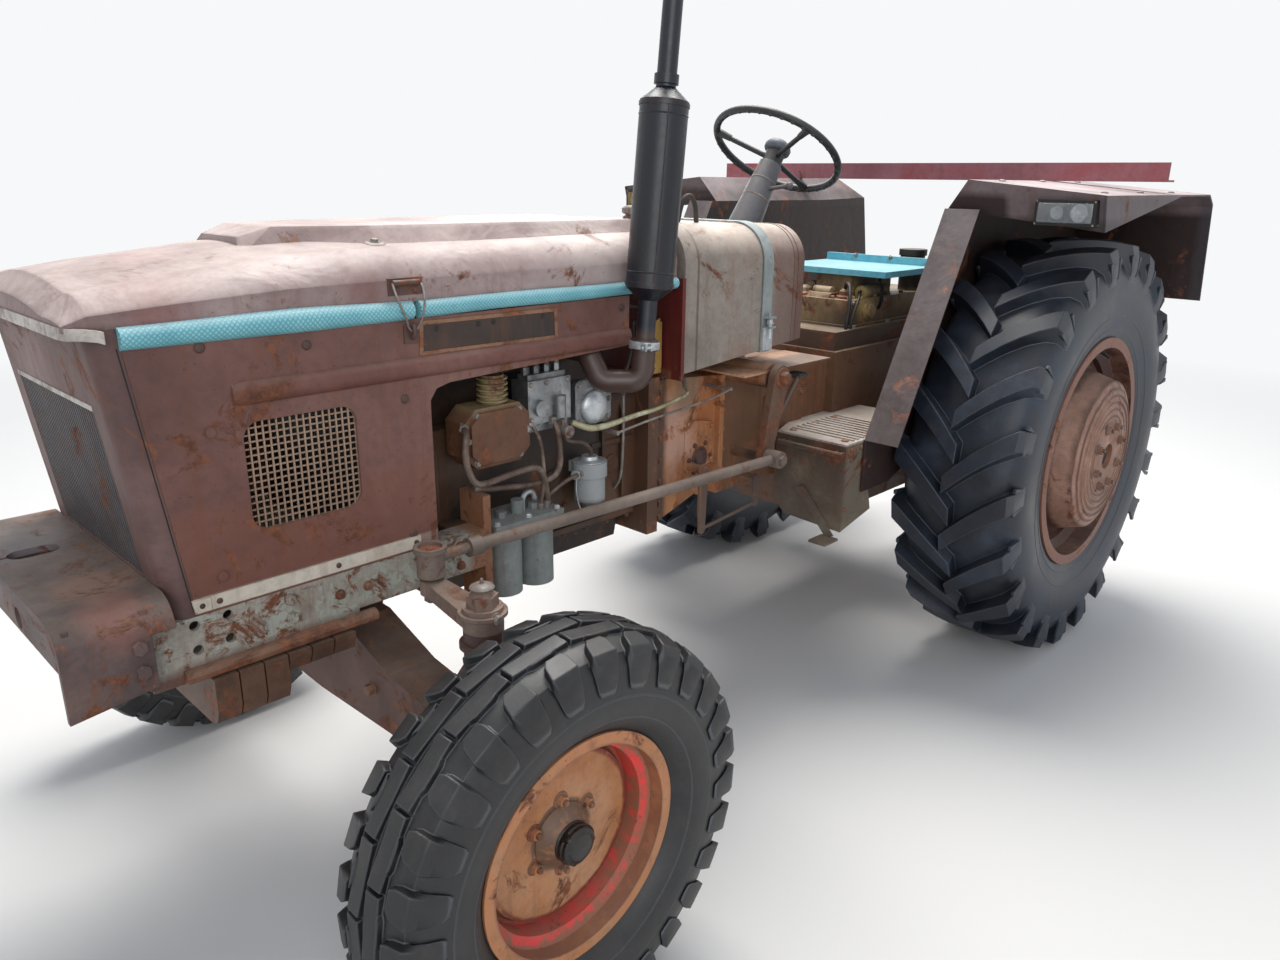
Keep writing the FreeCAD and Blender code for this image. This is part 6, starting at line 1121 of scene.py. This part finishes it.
for side in (1, -1):
    part.turned((2240, 360, 829), UP, ((0, 24), (2, 23.5), (3, 19), (3.5, 8)), 36)
    part.turned((2240, 360, 829.5), UP, ((0, 9), (4, 8.5), (7, 5), (8, 1)), 24)
    part.hand_over("cup_plug", "orange", side, "drag_link", bevel=0.5)
    part.turned((2240, 360, 776), UP, ((0, 17), (3, 23), (7, 17), (11, 26), (15, 19), (19, 28), (23, 20)), 36)
    part.hand_over("cup_boot", "grip", side, "drag_link", sharp=60)
    part.turned((2262, 557, 820), UP, ((0, 24), (3, 22), (7, 15), (9, 4)), 32)
    part.rod((2262, 557, 826), (2262, 557, 838), 4.5, 3, sides=10)
    part.rod((2262, 557, 770), (2262, 602, 770), 7, sides=14)
    part.bolt((2262, 596, 770), OUT, 17, 12)
    part.hand_over("kingpin_cap", "steel", side, "knuckle", bevel=0.8)
    part.turned((1078, 350, 1012), OUT, ((0, 30), (5, 29), (6, 22)), 32)
    part.bolt((1078, 356, 1012), OUT, 34, 16, 0, 0.2)
    part.hand_over("drop_arm_nut", "rust", side, "drop_arm", bevel=0.8)

tilt = radians(34)
column_up = Vector((-sin(tilt), 0, cos(tilt)))
rim_centre = Vector((682, 0, 1619))

part.turned(rim_centre + column_up * 4, column_up, ((0, 17), (2, 26), (5, 27), (9, 22), (12, 12), (13, 3)))
column_side = Vector(OUT)
column_front = column_up.cross(column_side)
for a, b in around(36, 1, 0.5):
    out = column_side * a + column_front * b
    lump = rim_centre + out * 200 - column_up * 6.5
    along = (column_front * a - column_side * b) * 9
    part.tube([lump - along, lump, lump + along], (4.5, 7.6, 4.5), sides=10, steps=3)
for a, b in around(3, 1, 0.75):
    out = column_side * a + column_front * b
    part.tube([rim_centre + out * 150 - column_up * 7, rim_centre + out * 178 - column_up * 2,
        rim_centre + out * 199], (9.5, 11.5, 13), sides=14)
part.piece("wheel_grip", "grip", "steering_wheel")

part.turned(rim_centre - column_up * 6, column_up, ((0, 36), (6, 41), (16, 42), (26, 37), (34, 26), (38, 12),
    (39, 1)), 44)
part.piece("wheel_cap", "cap", "steering_wheel", sharp=60)

top = rim_centre - column_up * 52
for d, r in ((60, 41.5), (120, 44.5), (249, 52.6)):
    part.turned(top - column_up * (d + 5), column_up, ((0, r - 3), (1, r), (4, r), (5, r - 3)))
for a, b in around(4, 1, 0.5):
    out = column_side * a + column_front * b
    part.bolt(top - column_up * 228 + out * 50, out, 10, 6)
part.piece("column_bands", "steel", bevel=0.5)

# Pedal, housings' bolts, lift castings, levers and platform

part.box(888, 934, 260, 312, 989.5, 993.5)
for n in range(5):
    x = 893 + 9 * n
    part.box(x, x + 4, 263, 309, 993, 996.5)
part.piece("pedal_pad", "grip", bevel=0.6)

for z in (1000, 940, 880, 820, 760, 700, 660):
    part.bolt((1439, 221, z), BACK, 16, 12)
for y in (40, 100, 160):
    part.bolt((1439, y, 1040), BACK, 16, 12)
for z in (960, 900, 840, 780, 720, 660):
    part.bolt((1117, 174, z), BACK, 14, 10)
part.slab([(1180, 760), (1300, 740), (1300, 900), (1180, 880)], "y", 178, 196)
part.bolts(OUT, 195, ((1190, 772), (1290, 754), (1290, 888), (1190, 868)), 13, 8)
part.slab([(700, 720), (900, 720), (900, 900), (700, 900)], "y", 158, 168)
part.bolts(OUT, 167, [(x, z) for x in (712, 800, 888) for z in (732, 888)], 13, 8)
part.mirror()
part.piece("housing_bolts", "gearbox_housing", bevel=1)

part.turned((1236, 192, 782), OUT, ((0, 33), (6, 33), (8, 28), (4, 24), (12, 20), (16, 10), (17, 1)), 36)
part.bolts(OUT, 195, around(6, 45, 0, 1236, 782), 11, 7)
part.piece("clutch_cover", "latch", bevel=0.8)

part.turned((300, 138, 1108), OUT, ((0, 34), (10, 33), (12, 26), (20, 24), (23, 12)), 36)
part.turned((356, 84, 1148), UP, ((0, 34), (10, 33), (12, 25), (26, 23), (33, 14), (35, 3)), 36)
part.rod((150, 104, 1166), (296, 104, 1166), 24, sides=28)
part.rod((140, 104, 1166), (306, 104, 1166), 12, sides=6)
part.bolts(UP, 1149, ((60, 126), (150, 126), (240, 126), (330, 126), (402, 126), (402, 60)), 15, 11)
part.mirror()
part.box(-206, 426, -148, 148, 1057, 1068)
part.rod((366, -36, 1166), (366, 36, 1166), 20, sides=24)
part.slab([(322, 1148), (404, 1148), (392, 1166), (334, 1166)], "y", -46, 46)
part.piece("lift_castings", "lift_housing", bevel=1.6)

part.tube([(362, 84, 1178), (372, 92, 1200), (396, 120, 1196), (430, 146, 1150), (446, 152, 1090),
    (450, 150, 1056)], 6)
part.tube([(306, 104, 1166), (330, 124, 1172), (380, 148, 1150), (424, 158, 1100), (430, 156, 1056)], 5)
part.tube([(240, 146, 1112), (250, 160, 1140), (262, 166, 1196), (286, 168, 1214)], 6)
part.piece("lift_pipes", "black")

part.tube([(900, 60, 975), (896, 64, 1040), (870, 76, 1140), (842, 84, 1230)], (11, 9, 7, 6.5), sides=14)
part.turned((900, 60, 978), UP, ((0, 44), (10, 40), (22, 24), (40, 14)), 32)
part.tube([(800, -60, 975), (800, -66, 1040), (786, -80, 1120), (770, -90, 1180)], (10, 8, 6.5, 6), sides=14)
part.turned((800, -60, 978), UP, ((0, 38), (8, 34), (18, 20), (32, 13)), 32)
part.piece("gear_levers", "steel")

for x, y, z in ((840, 84.8, 1236), (768.5, -91, 1186)):
    part.turned((x, y, z - 20), (-0.3, 0.08, 1), ((0, 8), (6, 15), (16, 20), (28, 19), (36, 12), (40, 2)), 28)
part.piece("lever_knobs", "grip", sharp=60)

for x, y in ((610, 236), (610, 420), (840, 236), (840, 420), (720, 236), (720, 420)):
    part.turned((x, y, 799), UP, ((0, 12), (3.5, 11), (6, 7), (6.8, 2)), 20)
part.bolts(AHEAD, 877, ((250, 770), (420, 770)), 13, 8)
part.bolts(OUT, 449, ((800, 780), (850, 780), (868, 600)), 12, 7)
part.mirror()
part.piece("platform_screws", "rust", bevel=0.6)

# Fenders: rivets, lamp glass and the tie bar's bolts

for x, y in ((300, 560), (0, 560), (-300, 560), (300, 860), (0, 860), (-300, 860)):
    z = 1541 - 38 * (y - 520) / 395
    part.turned((x, y, z - 1), (0, 0.1, 1), ((0, 11), (3.5, 10), (6, 6.5), (6.8, 2)), 20)
part.mirror()
part.piece("fender_rivets", "fenders")

for side in (1, -1):
    part.loft([[(x, 736.6 + s, 1428.6 + s), (x, 886.4 - s, 1428.6 + s), (x, 886.4 - s, 1481.4 - s),
                (x, 736.6 + s, 1481.4 - s)] for x, s in ((442.2, 0), (444.6, 0), (447.6, 5), (448.4, 14))])
    part.hand_over("lamp_glass", "lens" if side > 0 else "amber", side, bevel=1)
    part.turned((439.8, 850, 1455), AHEAD, ((0, 23), (1.6, 23), (1.9, 20), (0.9, 14), (0.7, 5), (1.9, 3)), 32)
    part.turned((439.8, 790, 1455), AHEAD, ((0, 18), (1.4, 18), (1.7, 15), (0.8, 8)), 28)
    part.hand_over("lamp_reflector", "reflector", side)
    for y, z in ((732.5, 1424.5), (890.5, 1424.5), (732.5, 1485.5), (890.5, 1485.5)):
        part.turned((443, y, z), AHEAD, ((0, 3), (1.6, 2.6), (2, 1)), 12)
    part.hand_over("lamp_screws", "steel", side)

part.bolts(UP, 1547, ((-178, -840), (-178, 860)), 15, 9)
part.piece("tie_bar_bolts", "steel", bevel=0.8)

# Front frame, bumper, axle and slabs

part.bolts(OUT, 287, ((2340, 762), (2400, 762), (2120, 740), (2120, 785), (2180, 762)), 15, 10)
part.bolts(AHEAD, 2868, ((80, 840), (220, 840)), 15, 6)
part.mirror()
part.piece("frame_bolts", "rust", bevel=0.8)

part.turned((2316, 0, 560), AHEAD, ((0, 60), (6, 60), (8, 40), (18, 38), (20, 30)))
part.bolt((2334, 0, 560), AHEAD, 44, 26, 0)
for y in (432, -432):
    part.bolts(BACK, 2200, ((y, 452), (y, 520)), 19, 14)
    part.bolts(AHEAD, 2324, ((y, 452), (y, 520)), 19, 14)
for y in (230, -230):
    part.bolt((2317, y, 500), AHEAD, 22, 15)
    part.bolt((2207, y, 500), BACK, 22, 15)
part.piece("axle_bolts", "rust", bevel=1)

# Rear: bolts, shaft splines and oil couplings

part.bolts(OUT, 203, around(8, 150, 0.5, 0, TYRE_R), 19, 13)
part.bolts(OUT, 139, ((-60, 1140), (200, 1140), (400, 1140)), 13, 8)
part.bolt((60, 70, 1270), OUT, 13, 8)
part.mirror()
part.bolts(UP, 1059, ((-190, -150), (-190, 150), (180, 150), (180, -150), (400, 150), (400, -150)), 16, 11)
part.turned((-242, 0, SHAFT_Z), BACK, ((-4, 74), (4, 74), (6, 62)))
part.bolts(BACK, -246, around(6, 66, 0, 0, SHAFT_Z), 10, 6)
part.piece("rear_bolts", "steel", bevel=0.8)

for y, z in around(6, 17, 0, 0, SHAFT_Z):
    part.rod((-316, y, z), (-240, y, z), 3.4, sides=8)
part.piece("shaft_splines", "steel")

for y in (-104, -64):
    part.rod((-230, y, 1120), (-200, y, 1120), 22, sides=6)
    part.turned((-226, y, 1120), BACK, ((0, 15), (12, 15), (13, 18), (34, 18), (36, 14), (38, 8)), 28)
    part.tube([(-190, y, 1120), (-150, y - 8, 1140), (-120, y - 14, 1168), (-60, y - 20, 1190),
        (0, y - 20, 1196)], 7)
part.piece("oil_couplings", "steel", bevel=0.6)
